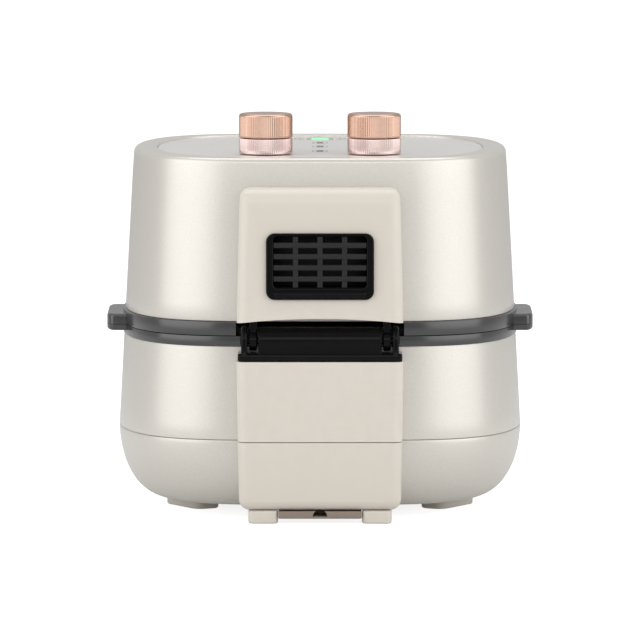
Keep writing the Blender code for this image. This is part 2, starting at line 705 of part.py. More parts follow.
def make_hinge(space):
    back, front = BOX_BACK_Y, HINGE_Y + HINGE_BACK
    arc = arc_outline((HINGE_Y, HINGE_Z), (HINGE_BACK, COVER_RISE), 0.0, 180.0, 12)
    reach = front + 14.0 * MM
    outline = arc + [(back, COVER_FLOOR_Z), (reach, COVER_FLOOR_Z), (reach, HINGE_Z - 2.0 * MM),
                     (front, HINGE_Z - 2.0 * MM)]
    housing = plate("hinge_housing", [outline], -HINGE_HALF, HINGE_HALF, "X")
    combine(housing, space)
    slots = []
    for side in (-1, 1):
        inner, outer = sorted((side * SLOT_INNER, side * SLOT_OUTER))
        slots.append(((inner, back - 5.0 * MM, HINGE_Z - SLOT_DEPTH), (outer, front + 5.0 * MM,
                                                                    HINGE_Z + COVER_RISE + 5.0 * MM)))
    combine(housing, blocks("arm_slots", slots))
    combine(housing, rods("pin_bore", [(HINGE_Y, HINGE_Z)], PIN_BORE, -HINGE_HALF - 1.0 * MM,
                          HINGE_HALF + 1.0 * MM, "X", 20))
    spring_room = PIN_BORE + 2.0 * SPRING_WIRE + 1.2 * MM
    combine(housing, rods("spring_room", [(HINGE_Y, HINGE_Z)], spring_room, -SPRING_HALF - 3.0 * MM,
                          SPRING_HALF + 3.0 * MM, "X", 20))
    finish_part(housing, "black")

    pin_half = HINGE_HALF - 2.0 * MM
    pin = rods("hinge_pin", [(HINGE_Y, HINGE_Z)], PIN_RADIUS, -pin_half, pin_half, "X", 20)
    finish_part(pin, "steel")

    coil_radius = PIN_BORE + SPRING_WIRE / 2.0 + 0.6 * MM
    per_turn = 10
    points = []
    for step in range(SPRING_TURNS * per_turn + 1):
        angle = 2.0 * math.pi * step / per_turn
        x = -SPRING_HALF + 2.0 * SPRING_HALF * step / (SPRING_TURNS * per_turn)
        points.append((x, HINGE_Y + coil_radius * math.cos(angle), HINGE_Z + coil_radius * math.sin(angle)))
    finish_part(wire("lid_spring", points, SPRING_WIRE / 2.0), "steel")

    for side, label in ((-1, "left"), (1, "right")):
        make_hinge_arm(side, label)


def make_hinge_arm(side, label):
    """An eye on the pin, a leg up into the rear box and a flange against the lid's back."""
    centre = side * (SLOT_INNER + SLOT_OUTER) / 2.0
    top = HINGE_Z + ARM_RISE
    shell_y = -plan_depth(side_half_width(top), abs(centre) - ARM_THICK / 2.0) - 1.0 * MM
    leg_angle = math.degrees(math.acos(ARM_LEG_HALF / ARM_EYE))
    eye = arc_outline((HINGE_Y, HINGE_Z), (ARM_EYE, ARM_EYE), 180.0 - leg_angle, 360.0 + leg_angle, 16)
    leg = [(HINGE_Y + ARM_LEG_HALF, top - 8.0 * MM), (shell_y, top - 8.0 * MM), (shell_y, top),
           (HINGE_Y - ARM_LEG_HALF, top)]
    bore = arc_outline((HINGE_Y, HINGE_Z), (PIN_BORE, PIN_BORE), 0.0, 342.0, 19)
    arm = plate(f"hinge_arm_{label}", [eye + leg, bore], centre - ARM_THICK / 2.0,
                centre + ARM_THICK / 2.0, "X")
    finish_part(arm, "black", "lid")


# ---------------------------------------------------------------- vent

def duct_outline(grow=0.0):
    """Outside of the exhaust duct, seen along Y."""
    width = 2.0 * (VENT_HALF_WIDTH - VENT_SIDE_RIM) + 2.0 * (DUCT_WALL + grow)
    low = VENT_LOW_Z + VENT_SILL - DUCT_WALL - grow
    high = VENT_LOW_Z + VENT_HEIGHT - VENT_TOP_RIM + DUCT_WALL + grow
    return rounded_outline(width, high - low, 3.0 * MM, (0.0, (low + high) / 2.0), 2)


def vent_opening(grow=0.0):
    """Clear opening of the vent, seen along Y."""
    width = 2.0 * (VENT_HALF_WIDTH - VENT_SIDE_RIM + grow)
    low, high = VENT_LOW_Z + VENT_SILL - grow, VENT_LOW_Z + VENT_HEIGHT - VENT_TOP_RIM + grow
    return width, low, high


def make_vent():
    width, low, high = vent_opening()
    hole = rounded_outline(width, high - low, VENT_HOLE_CORNER, (0.0, (low + high) / 2.0), 2)
    outer = rounded_outline(2.0 * VENT_HALF_WIDTH, VENT_HEIGHT, VENT_CORNER,
                            (0.0, VENT_LOW_Z + VENT_HEIGHT / 2.0), 3)
    face = BOX_BACK_Y - FIT
    bezel = plate("vent_bezel", [outer, hole], face - VENT_PROUD, face, "Y")
    sill = rods("vent_lip", [(face - VENT_PROUD / 2.0, VENT_LOW_Z + VENT_SILL / 2.0)], VENT_PROUD,
                -VENT_HALF_WIDTH + VENT_CORNER, VENT_HALF_WIDTH - VENT_CORNER, "X", 12)
    combine(sill, blocks("vent_lip_trim", [((-VENT_HALF_WIDTH, face, VENT_LOW_Z),
                                            (VENT_HALF_WIDTH, face + VENT_SILL, VENT_LOW_Z + VENT_HEIGHT))]))
    combine(bezel, sill, "UNION")
    finish_part(bezel, "black", "lid")

    width, low, high = vent_opening(-FIT)
    edge = rounded_outline(width, high - low, VENT_HOLE_CORNER, (0.0, (low + high) / 2.0), 2)
    back = face + GRILLE_INSET
    grid = plate("vent_grille", [edge], back - GRILLE_THICK, back, "Y")
    clear_x = (width - (VENT_COLUMNS - 1) * GRILLE_BAR_WIDE) / VENT_COLUMNS
    clear_z = (high - low - (VENT_ROWS - 1) * GRILLE_BAR_HIGH) / VENT_ROWS
    holes = []
    for column in range(VENT_COLUMNS):
        left = -width / 2.0 + column * (clear_x + GRILLE_BAR_WIDE)
        right = left + clear_x
        if column == 0:
            left -= FIT
        if column == VENT_COLUMNS - 1:
            right += FIT
        for row in range(VENT_ROWS):
            bottom = low + row * (clear_z + GRILLE_BAR_HIGH)
            top = bottom + clear_z
            if row == 0:
                bottom -= FIT
            if row == VENT_ROWS - 1:
                top += FIT
            holes.append(((left, back - 2.0 * GRILLE_THICK, bottom), (right, back + GRILLE_THICK, top)))
    combine(grid, blocks("grille_holes", holes))
    finish_part(grid, "black", "lid", smooth=False)

    outer = duct_outline()
    width, low, high = vent_opening()
    inner = rounded_outline(width, high - low, VENT_HOLE_CORNER, (0.0, (low + high) / 2.0), 2)
    start = back + FIT
    duct = plate("exhaust_duct", [outer, inner], start, start + DUCT_LENGTH, "Y")
    finish_part(duct, "steel", "lid")


# ---------------------------------------------------------------- lid top

def make_panel():
    low = PANEL_TOP_Z - PANEL_THICK
    panel = plan_skin("lid_top_panel", [(PANEL_HALF, low), (PANEL_HALF, PANEL_TOP_Z)], cap_first=True,
                      cap_last=True)
    spots = [(KNOB_X, KNOB_Y), (-KNOB_X, KNOB_Y)]
    combine(panel, rods("spindle_holes", spots, SPINDLE_RADIUS + 2.0 * MM, low - 1.0 * MM,
                        PANEL_TOP_Z + 1.0 * MM))
    width, depth = DISPLAY_SIZE
    hole = rounded_outline(width + 2.0 * FIT, depth + 2.0 * FIT, 4.0 * MM, (0.0, DISPLAY_Y))
    combine(panel, plate("display_hole", [hole], low - 1.0 * MM, PANEL_TOP_Z + 1.0 * MM))
    finish_part(panel, "panel", "lid")

    lens = plate("display_lens", [rounded_outline(width, depth, 4.0 * MM, (0.0, DISPLAY_Y))],
                 low - 1.0 * MM, PANEL_TOP_Z)
    finish_part(lens, "green_lens", "lid")

    board_z = low - 10.0 * MM
    board = blocks("control_board", [((-60.0 * MM, 30.0 * MM, board_z - 1.6 * MM),
                                      (60.0 * MM, 112.0 * MM, board_z))])
    finish_part(board, "circuit", "lid", smooth=False)


def make_knob(label, x):
    body = f"{label}_knob"
    spot = (x, KNOB_Y)
    bore = SPINDLE_RADIUS + 0.05 * MM
    low, high = KNOB_FLOOR_Z, KNOB_FLOOR_Z + COLLAR_HEIGHT
    edge = 0.8 * MM
    collar = turned(f"{label}_knob_collar", [
        (KNOB_RADIUS - edge, high), (KNOB_RADIUS, high - edge), (KNOB_RADIUS, low + edge),
        (KNOB_RADIUS - edge, low), (bore + FIT, low), (bore + FIT, high)], closed=True, place=spot)
    finish_part(collar, "rose_gold", body)

    low, high = CAP_FLOOR_Z, CAP_FLOOR_Z + CAP_HEIGHT
    fillet = 3.0 * MM
    profile = [(0.0, high)]
    profile += [(u, v) for u, v in reversed(arc_outline(
        (KNOB_RADIUS - fillet, high - fillet), (fillet, fillet), 0.0, 90.0, 3))]
    profile += [(KNOB_RADIUS, low), (bore + FIT, low), (bore + FIT, high - 6.0 * MM), (0.0, high - 6.0 * MM)]
    cap = turned(f"{label}_knob_cap", profile, place=spot)
    finish_part(cap, "rose_gold", body)

    spindle_top = high - 6.0 * MM - FIT
    panel_low = PANEL_TOP_Z - PANEL_THICK
    control_top = panel_low - FIT
    spindle = turned(f"{label}_spindle", [
        (0.0, spindle_top), (SPINDLE_RADIUS, spindle_top), (SPINDLE_RADIUS, control_top - 8.0 * MM),
        (0.0, control_top - 8.0 * MM)], steps=16, place=spot)
    finish_part(spindle, "steel", body)

    floor = control_top - CONTROL_HEIGHT
    bush = SPINDLE_RADIUS + FIT
    control = turned(f"{label}_control", [
        (0.0, control_top - 9.0 * MM), (bush, control_top - 9.0 * MM), (bush, control_top),
        (CONTROL_RADIUS, control_top), (CONTROL_RADIUS, floor), (0.0, floor)], steps=20, place=spot)
    finish_part(control, "black", "lid")


def make_lid_handle():
    """A pull at the middle of the front, hollow underneath for the fingers."""
    start = plan_depth(RING_HALF, LID_HANDLE_HALF) + 2.0 * MM
    reach = RING_HALF - DEPTH_CUT + LID_HANDLE_REACH
    low, high = SPLIT_Z + FIT / 2.0, SPLIT_Z + LID_HANDLE_HEIGHT
    outline = rounded_outline(2.0 * LID_HANDLE_HALF, 2.0 * (reach - start), 14.0 * MM, (0.0, start))
    outline = trimmed([(u, max(v, start)) for u, v in outline])
    handle = plate("lid_handle", [outline], low, high)
    ring_profile_up = [(RING_HALF + FIT, low - 5.0 * MM), (RING_HALF + FIT, high + 5.0 * MM)]
    combine(handle, plan_skin("handle_seat", ring_profile_up, cap_first=True, cap_last=True))
    pocket_start = RING_HALF - DEPTH_CUT + 4.0 * MM
    pocket = blocks("finger_pocket", [((-LID_HANDLE_HALF + 8.0 * MM, pocket_start, low - 1.0 * MM),
                                       (LID_HANDLE_HALF - 8.0 * MM, reach - 5.0 * MM, high - 5.0 * MM))])
    combine(handle, pocket)
    finish_part(handle, "charcoal", "lid")


# ---------------------------------------------------------------- cooking space

def make_pot():
    rim_half = RING_INNER - FIT
    wall_top = rim_half - POT_RIM
    rim_z = SPLIT_Z - 1.0 * MM
    profile = [(wall_top - POT_TAPER - 8.0 * MM, POT_FLOOR_Z), (wall_top - POT_TAPER, POT_FLOOR_Z + 8.0 * MM),
               (wall_top, rim_z - 4.0 * MM), (wall_top, rim_z - POT_WALL), (rim_half, rim_z - POT_WALL)]
    pot = plan_skin("inner_pot", profile, cap_first=True)
    finish_part(solidify(pot, POT_WALL), "nonstick")

    flange = RING_HALF - RING_PROUD - SHELL_WALL - 2.0 * MM
    top = RING_FLOOR_Z - 2.0 * FIT - LINER_WALL
    wall = RING_INNER + 2.0 * MM
    profile = [(wall - POT_TAPER - 10.0 * MM, LINER_FLOOR_Z), (wall - POT_TAPER, LINER_FLOOR_Z + 10.0 * MM),
               (wall, top), (flange, top)]
    liner = plan_skin("body_liner", profile, cap_first=True)
    finish_part(solidify(liner, LINER_WALL), "steel")

    share = (TRAY_Z - POT_FLOOR_Z) / (rim_z - POT_FLOOR_Z)
    tray_half = wall_top - POT_TAPER * (1.0 - share) - POT_WALL - 2.0 * MM
    tray = plan_skin("crisper_tray", [(tray_half, TRAY_Z), (tray_half, TRAY_Z + TRAY_THICK)],
                     cap_first=True, cap_last=True)
    feet = rods("tray_legs", [(sx * 62.0 * MM, sy * 58.0 * MM) for sx in (-1, 1) for sy in (-1, 1)],
                5.0 * MM, POT_FLOOR_Z + POT_WALL + FIT, TRAY_Z + TRAY_THICK / 2.0, sides=12)
    combine(tray, feet, "UNION")
    slots = []
    for row in range(-2, 3):
        for column in range(-1, 2):
            x, y = column * TRAY_PITCH[0], row * TRAY_PITCH[1]
            slots.append(((x - TRAY_SLOT[0] / 2.0, y - TRAY_SLOT[1] / 2.0, TRAY_Z - TRAY_THICK),
                          (x + TRAY_SLOT[0] / 2.0, y + TRAY_SLOT[1] / 2.0, TRAY_Z + 2.0 * TRAY_THICK)))
    combine(tray, blocks("tray_slots", slots))
    finish_part(tray, "nonstick", smooth=False)


def make_lid_inside():
    gasket_outer = RING_INNER - FIT
    low = SPLIT_Z - 0.6 * MM
    profile = [(gasket_outer, low), (gasket_outer, low + 6.0 * MM),
               (gasket_outer - GASKET_WIDTH, low + 6.0 * MM), (gasket_outer - GASKET_WIDTH, low)]
    finish_part(plan_skin("lid_gasket", profile, closed=True), "silicone", "lid")

    flange = side_half_width(DISH_FLOOR_Z) - SHELL_WALL - 3.0 * MM
    mouth = RING_INNER - 2.0 * MM
    profile = [(flange, DISH_FLOOR_Z + LINER_WALL), (mouth, DISH_FLOOR_Z + LINER_WALL),
               (mouth - DISH_TAPER, DISH_TOP_Z)]
    dish = solidify(plan_skin("lid_heat_shield", profile, cap_last=True), LINER_WALL)
    combine(dish, rods("shaft_hole", [(0.0, 0.0)], SHAFT_RADIUS + 2.0 * MM, DISH_TOP_Z - 5.0 * MM,
                       DISH_TOP_Z + 5.0 * MM))
    finish_part(dish, "steel", "lid")

    fan_top = DISH_TOP_Z - LINER_WALL - 4.0 * MM
    disc = 1.2 * MM
    fan = turned("convection_fan", [
        (9.0 * MM, fan_top), (FAN_RADIUS, fan_top), (FAN_RADIUS, fan_top - disc), (9.0 * MM, fan_top - disc),
        (9.0 * MM, fan_top - FAN_BLADE_HEIGHT), (SHAFT_RADIUS + FIT, fan_top - FAN_BLADE_HEIGHT),
        (SHAFT_RADIUS + FIT, fan_top + 1.0 * MM), (9.0 * MM, fan_top + 1.0 * MM)], closed=True)
    combine(fan, blades("fan_blades", FAN_BLADES, 12.0 * MM, FAN_RADIUS - 2.0 * MM,
                        fan_top - FAN_BLADE_HEIGHT, fan_top - disc / 2.0), "UNION")
    finish_part(fan, "steel", "rotor")

    coil_z = fan_top - FAN_BLADE_HEIGHT / 2.0
    inner, outer = ELEMENT_RADIUS
    per_turn = 18
    total = ELEMENT_TURNS * per_turn
    points = []
    for step in range(total + 1):
        angle = 2.0 * math.pi * step / per_turn
        radius = outer + (inner - outer) * step / total
        points.append((radius * math.cos(angle), radius * math.sin(angle), coil_z))
    finish_part(wire("heating_element", points, ELEMENT_TUBE), "steel", "lid")

    guard_z = fan_top - FAN_BLADE_HEIGHT - 6.0 * MM
    guard = turned("element_guard", guard_ring(GUARD_RADII[-1], guard_z), closed=True, steps=STEPS)
    for number, radius in enumerate(GUARD_RADII[:-1]):
        hoop = turned(f"guard_hoop_{number}", guard_ring(radius, guard_z), closed=True)
        combine(guard, hoop, "UNION")
    spokes = blades("guard_spokes", 6, GUARD_RADII[0] - 1.0 * MM, GUARD_RADII[-1] + 0.5 * MM,
                    guard_z - GUARD_WIRE * 0.5, guard_z + GUARD_WIRE * 0.5, GUARD_WIRE)
    combine(guard, spokes, "UNION")
    finish_part(guard, "steel", "lid", smooth=False)

    shaft_top = MOTOR_FLOOR_Z + MOTOR_HEIGHT + COOLING_FAN_HEIGHT + 8.0 * MM
    shaft = turned("motor_shaft", [
        (0.0, shaft_top), (SHAFT_RADIUS, shaft_top), (SHAFT_RADIUS, fan_top - FAN_BLADE_HEIGHT),
        (0.0, fan_top - FAN_BLADE_HEIGHT)], steps=16)
    finish_part(shaft, "steel", "rotor")

    bore = SHAFT_RADIUS + FIT
    low, high = MOTOR_FLOOR_Z, MOTOR_FLOOR_Z + MOTOR_HEIGHT
    motor = turned("fan_motor", [
        (9.0 * MM, high + 3.0 * MM), (9.0 * MM, high), (MOTOR_RADIUS - 3.0 * MM, high),
        (MOTOR_RADIUS, high - 3.0 * MM), (MOTOR_RADIUS, low), (bore, low), (bore, high + 3.0 * MM)],
        closed=True, steps=24)
    finish_part(motor, "steel", "lid")

    bracket = plate("motor_bracket", [
        rounded_outline(150.0 * MM, 26.0 * MM, 6.0 * MM, steps=2),
        arc_outline((0.0, 0.0), (8.0 * MM, 8.0 * MM), 0.0, 337.5, 15)],
        low - FIT - 2.0 * MM, low - FIT)
    legs = blocks("bracket_legs", [
        ((side * 68.0 * MM - 5.0 * MM, -10.0 * MM, DISH_TOP_Z + FIT),
         (side * 68.0 * MM + 5.0 * MM, 10.0 * MM, low - FIT - 1.0 * MM)) for side in (-1, 1)])
    combine(bracket, legs, "UNION")
    finish_part(bracket, "steel", "lid", smooth=False)

    low = MOTOR_FLOOR_Z + MOTOR_HEIGHT + 5.0 * MM
    cooler = turned("cooling_fan", [
        (10.0 * MM, low + COOLING_FAN_HEIGHT), (10.0 * MM, low), (SHAFT_RADIUS + FIT, low),
        (SHAFT_RADIUS + FIT, low + COOLING_FAN_HEIGHT)], closed=True, steps=20)
    combine(cooler, blades("cooler_blades", 7, 8.0 * MM, COOLING_FAN_RADIUS, low + 1.0 * MM,
                           low + COOLING_FAN_HEIGHT - 1.0 * MM), "UNION")
    finish_part(cooler, "black", "rotor", smooth=False)


def guard_ring(radius, z):
    half = GUARD_WIRE
    return ring_profile(radius - half, radius + half, z - half, z + half)


def blades(name, count, inner, outer, low, high, thick=1.6 * MM):
    """Radial blades at equal angles about Z, as one object of separate boxes."""
    bm = bmesh.new()
    for number in range(count):
        made = block_bmesh(bm, (inner, -thick / 2.0, low), (outer, thick / 2.0, high))
        turn = Matrix.Rotation(2.0 * math.pi * number / count, 3, "Z")
        bmesh.ops.rotate(bm, verts=made, cent=(0.0, 0.0, 0.0), matrix=turn)
    return mesh_object(name, bm)


# ---------------------------------------------------------------- underside

def screw_spots():
    return [(sx * SCREW_SPOT[0], sy * SCREW_SPOT[1]) for sx in (-1, 1) for sy in (-1, 1)]


def make_underside():
    low, high = PLATE_TOP_Z - PLATE_THICK, PLATE_TOP_Z
    base = plan_skin("base_plate", [(PLATE_HALF, low), (PLATE_HALF, high)], cap_first=True, cap_last=True,
                     facets=32)
    tongue = blocks("plate_tongue", [((-TONGUE_HALF, BOX_BACK_Y + TONGUE_INSET, low),
                                      (TONGUE_HALF, -PLATE_HALF / 2.0, high))])
    combine(base, tongue, "UNION")
    combine(base, cord_notch("plate_cord_notch"))
    combine(base, rods("plate_screw_holes", screw_spots(), SCREW_SHANK + FIT, 0.0, SEAM_Z / 2.0, sides=10))
    finish_part(base, "taupe", smooth=False)

    for number, (x, y) in enumerate(screw_spots(), start=1):
        head_top = low - FIT
        screw = turned(f"base_screw_{number}", [
            (0.0, BODY_FLOOR_Z + SCREW_LENGTH), (SCREW_SHANK, BODY_FLOOR_Z + SCREW_LENGTH),
            (SCREW_SHANK, head_top), (SCREW_HEAD, head_top), (SCREW_HEAD, head_top - SCREW_HEAD_HEIGHT * 0.7),
            (0.0, head_top - SCREW_HEAD_HEIGHT)],
            steps=12, place=(x, y))
        finish_part(screw, "steel")

    for side, label in ((-1, "left"), (1, "right")):
        width, depth = REAR_FOOT_SIZE
        centre = (side * FOOT_X, BOX_BACK_Y + REAR_FOOT_INSET + depth / 2.0)
        outline = rounded_outline(width, depth, REAR_FOOT_CORNER, centre, 3)
        finish_part(plate(f"rear_foot_{label}", [outline], 0.0, BOX_FLOOR_Z - FIT), "cream")
        for place, (spot, turn) in SIDE_FEET.items():
            outline = turned_outline(rounded_outline(*SIDE_FOOT_SIZE, SIDE_FOOT_CORNER, steps=3), side * turn,
                                     (side * spot[0], spot[1]))
            finish_part(plate(f"{place}_foot_{label}", [outline], 0.0, BODY_FLOOR_Z - FIT), "cream")

    start_y = BOX_BACK_Y + BOX_FILLET + BOX_PART_GAP
    width, depth, height = TERMINAL_SIZE
    bottom = BOX_FLOOR_Z + BOX_WALL + FIT
    finish_part(blocks("terminal_block", [((TERMINAL_X, start_y, bottom),
                                           (TERMINAL_X + width, start_y + depth, bottom + height))]),
                "black", smooth=False)
    width, depth, height = SWITCH_SIZE
    top = COVER_FLOOR_Z - 2.0 * BOX_PART_GAP
    finish_part(blocks("safety_switch", [((SWITCH_X, start_y, top - height),
                                          (SWITCH_X + width, start_y + depth, top))]),
                "black", smooth=False)


def main():
    start_scene()
    make_base_tub()
    make_body_shell()
    make_lid_shell()
    make_rings()
    make_hinge(make_rear_box())
    make_vent()
    make_panel()
    make_knob("temperature", KNOB_X)
    make_knob("timer", -KNOB_X)
    make_lid_handle()
    make_pot()
    make_lid_inside()
    make_underside()


main()
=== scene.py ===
"""Looks of the flip-top air fryer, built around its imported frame.

The back of the fryer, with its hinge and exhaust box, faces -Y. All lengths are in metres.
"""
import math

import bmesh
import bpy
from mathutils import Matrix, Vector


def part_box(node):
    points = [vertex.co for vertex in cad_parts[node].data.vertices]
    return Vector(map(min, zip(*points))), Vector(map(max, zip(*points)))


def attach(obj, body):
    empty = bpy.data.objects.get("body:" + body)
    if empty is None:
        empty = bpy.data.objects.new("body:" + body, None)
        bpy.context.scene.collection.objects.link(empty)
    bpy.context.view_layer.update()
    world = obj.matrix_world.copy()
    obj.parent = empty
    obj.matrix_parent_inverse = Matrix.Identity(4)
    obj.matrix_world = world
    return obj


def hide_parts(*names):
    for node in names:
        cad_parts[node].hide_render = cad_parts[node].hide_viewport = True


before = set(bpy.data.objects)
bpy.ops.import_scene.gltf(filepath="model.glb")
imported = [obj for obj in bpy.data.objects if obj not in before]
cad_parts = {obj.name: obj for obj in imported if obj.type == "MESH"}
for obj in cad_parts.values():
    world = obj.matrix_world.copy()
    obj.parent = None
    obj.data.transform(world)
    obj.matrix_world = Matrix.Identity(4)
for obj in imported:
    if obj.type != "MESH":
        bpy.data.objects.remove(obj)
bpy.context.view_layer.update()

MM = 0.001
FACETS = 192                       # sides of the painted shells
ROUND = 96                         # sides of turned pieces
GAP = 0.3 * MM


def low(node):
    return Vector(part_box(node)[0])


def high(node):
    return Vector(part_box(node)[1])


def centre_of(node):
    return (low(node) + high(node)) / 2.0


# The squircle plan: its powers, then sizes read back from the frame
WIDE_POWER = 4.5                   # flat back and front
DEEP_POWER = 2.1                   # rounder sides
PLAN_SAMPLES = 4800                # points tried when sharing out the facets
DEPTH_CUT = high("body_shell").x - high("body_shell").y
SEAM_Z = (high("base_tub").z + low("body_shell").z) / 2.0
FLOOR_Z = low("base_tub").z
TAPER = (high("lid_shell").x - high("body_shell").x) / (low("lid_shell").z - low("body_shell").z)
BOWL_INSET = 32.0 * MM
WALL = 2.4 * MM
TOP_Z = high("lid_shell").z
RING_HALF = -low("pot_rim_ring").y + DEPTH_CUT
SPLIT_Z = (high("pot_rim_ring").z + low("lid_ring").z) / 2.0
BOX_BACK = low("rear_housing_lower").y
HINGE = Vector((0.0, *centre_of("hinge_pin").yz))


def half_width(z):
    """Half-width of the painted body at height z."""
    if z >= SEAM_Z:
        return high("body_shell").x + TAPER * (z - low("body_shell").z)
    drop = min((SEAM_Z - z) / (SEAM_Z - FLOOR_Z), 1.0)
    return half_width(SEAM_Z) - BOWL_INSET * (1.0 - math.sqrt(1.0 - drop * drop))


def plan_point(half, angle):
    """Point of the plan at an angle of its curve."""
    c, s = math.cos(angle), math.sin(angle)
    return (half * math.copysign(abs(c) ** (2.0 / WIDE_POWER), c),
            (half - DEPTH_CUT) * math.copysign(abs(s) ** (2.0 / DEEP_POWER), s))


ANGLES = {}                        # worked out once for each number of facets


def plan_angles(facets):
    """Angles that share the plan's length and its turning evenly among the facets."""
    if facets in ANGLES:
        return ANGLES[facets]
    quarter = PLAN_SAMPLES // 4
    samples = [math.pi / 2.0 * number / quarter for number in range(quarter + 1)]
    points = [Vector(plan_point(half_width(SEAM_Z), angle)) for angle in samples]
    runs = [after - before for before, after in zip(points, points[1:])]
    length = sum(run.length for run in runs)
    shares = [0.0]
    for number, run in enumerate(runs):
        turn = run.angle(runs[number - 1]) if number else 0.0
        shares.append(shares[-1] + run.length / length + turn / (math.pi / 2.0))
    wanted = facets // 4
    first, number = [], 0
    for step in range(wanted):
        while shares[number] < shares[-1] * step / wanted:
            number += 1
        first.append(samples[number])
    half = first + [math.pi / 2.0] + [math.pi - angle for angle in reversed(first[1:])]
    ANGLES[facets] = half + [math.pi + angle for angle in half]
    return ANGLES[facets]


# ---------------------------------------------------------------- shader groups

def new_group(name, inputs, outputs):
    """An empty shader group with named sockets; inputs are (name, kind, value)."""
    tree = bpy.data.node_groups.new(name, "ShaderNodeTree")
    for label, kind, value in inputs:
        socket = tree.interface.new_socket(name=label, in_out="INPUT", socket_type=kind)
        if value is not None:
            socket.default_value = value
    for label, kind in outputs:
        tree.interface.new_socket(name=label, in_out="OUTPUT", socket_type=kind)
    return tree, tree.nodes.new("NodeGroupInput"), tree.nodes.new("NodeGroupOutput")


def add_node(tree, kind, operation=None, **values):
    """A node with its operation and any named inputs set."""
    node = tree.nodes.new(kind)
    if operation:
        node.operation = operation
    for label, value in values.items():
        node.inputs[label.replace("_", " ")].default_value = value
    return node


def colour_mix(tree):
    node = tree.nodes.new("ShaderNodeMix")
    node.data_type = "RGBA"
    return node


def wire(tree, *links):
    """Join sockets; each link is a node, its output, the next node and its input."""
    for source, output, target, socket in links:
        tree.links.new(source.outputs[output], target.inputs[socket])


def fine_grain_group():
    """Moulding grain: a height, and a roughness that wanders between two values."""
    tree, given, out = new_group(
        "fine_grain",
        [("Vector", "NodeSocketVector", None), ("Grain per Metre", "NodeSocketFloat", 2500.0),
         ("Smoothest", "NodeSocketFloat", 0.4), ("Roughest", "NodeSocketFloat", 0.5)],
        [("Height", "NodeSocketFloat"), ("Roughness", "NodeSocketFloat")])
    fine = add_node(tree, "ShaderNodeTexNoise", Detail=3.0)
    broad = add_node(tree, "ShaderNodeTexNoise", Scale=18.0, Detail=2.0)
    wander = add_node(tree, "ShaderNodeMapRange", From_Min=0.3, From_Max=0.7)
    wire(tree,
         (given, "Vector", fine, "Vector"), (given, "Grain per Metre", fine, "Scale"),
         (given, "Vector", broad, "Vector"), (broad, "Fac", wander, "Value"),
         (given, "Smoothest", wander, "To Min"), (given, "Roughest", wander, "To Max"),
         (fine, "Fac", out, "Height"), (wander, "Result", out, "Roughness"))
    return tree


def pearl_group():
    """Pearl paint: tiny flakes that each take their own tint between two colours."""
    tree, given, out = new_group(
        "pearl_flakes",
        [("Vector", "NodeSocketVector", None), ("Flakes per Metre", "NodeSocketFloat", 2200.0),
         ("Shade", "NodeSocketColor", (0.6, 0.6, 0.6, 1.0)),
         ("Light", "NodeSocketColor", (0.8, 0.8, 0.8, 1.0))],
        [("Color", "NodeSocketColor"), ("Height", "NodeSocketFloat")])
    cells = add_node(tree, "ShaderNodeTexVoronoi")
    split = add_node(tree, "ShaderNodeSeparateColor")
    mix = colour_mix(tree)
    wire(tree,
         (given, "Vector", cells, "Vector"), (given, "Flakes per Metre", cells, "Scale"),
         (cells, "Color", split, "Color"), (split, "Red", mix, "Factor"),
         (given, "Shade", mix, "A"), (given, "Light", mix, "B"),
         (mix, "Result", out, "Color"), (split, "Green", out, "Height"))
    return tree


def painted_edge_light_group():
    """Painted highlight: convex edges turn lighter, in noise patches; painted shade: hollows may turn darker.
    """
    tree, given, out = new_group(
        "edge_polish",
        [("Vector", "NodeSocketVector", None), ("Color", "NodeSocketColor", (0.5, 0.5, 0.5, 1.0)),
         ("Edge Color", "NodeSocketColor", (0.6, 0.6, 0.6, 1.0)), ("Amount", "NodeSocketFloat", 0.5),
         ("Hollow Color", "NodeSocketColor", (0.5, 0.5, 0.5, 1.0)), ("Hollow", "NodeSocketFloat", 0.0)],
        [("Color", "NodeSocketColor")])
    shape = add_node(tree, "ShaderNodeNewGeometry")
    # Pointiness picks out convex edges for the painted highlight and hollows for the painted shade
    ramp = add_node(tree, "ShaderNodeMapRange", From_Min=0.52, From_Max=0.62)
    patches = add_node(tree, "ShaderNodeTexNoise", Scale=120.0)
    soften = add_node(tree, "ShaderNodeMath", "MULTIPLY")
    amount = add_node(tree, "ShaderNodeMath", "MULTIPLY")
    painted_edge_light = colour_mix(tree)
    hollow = add_node(tree, "ShaderNodeMapRange", From_Min=0.49, From_Max=0.42)
    depth = add_node(tree, "ShaderNodeMath", "MULTIPLY")
    darken = colour_mix(tree)
    wire(tree,
         (shape, "Pointiness", ramp, "Value"), (given, "Vector", patches, "Vector"),
         (ramp, "Result", soften, 0), (patches, "Fac", soften, 1),
         (soften, "Value", amount, 0), (given, "Amount", amount, 1),
         (amount, "Value", painted_edge_light, "Factor"), (given, "Color", painted_edge_light, "A"),
         (given, "Edge Color", painted_edge_light, "B"), (shape, "Pointiness", hollow, "Value"),
         (hollow, "Result", depth, 0), (given, "Hollow", depth, 1),
         (depth, "Value", darken, "Factor"), (painted_edge_light, "Result", darken, "A"),
         (given, "Hollow Color", darken, "B"), (darken, "Result", out, "Color"))
    return tree


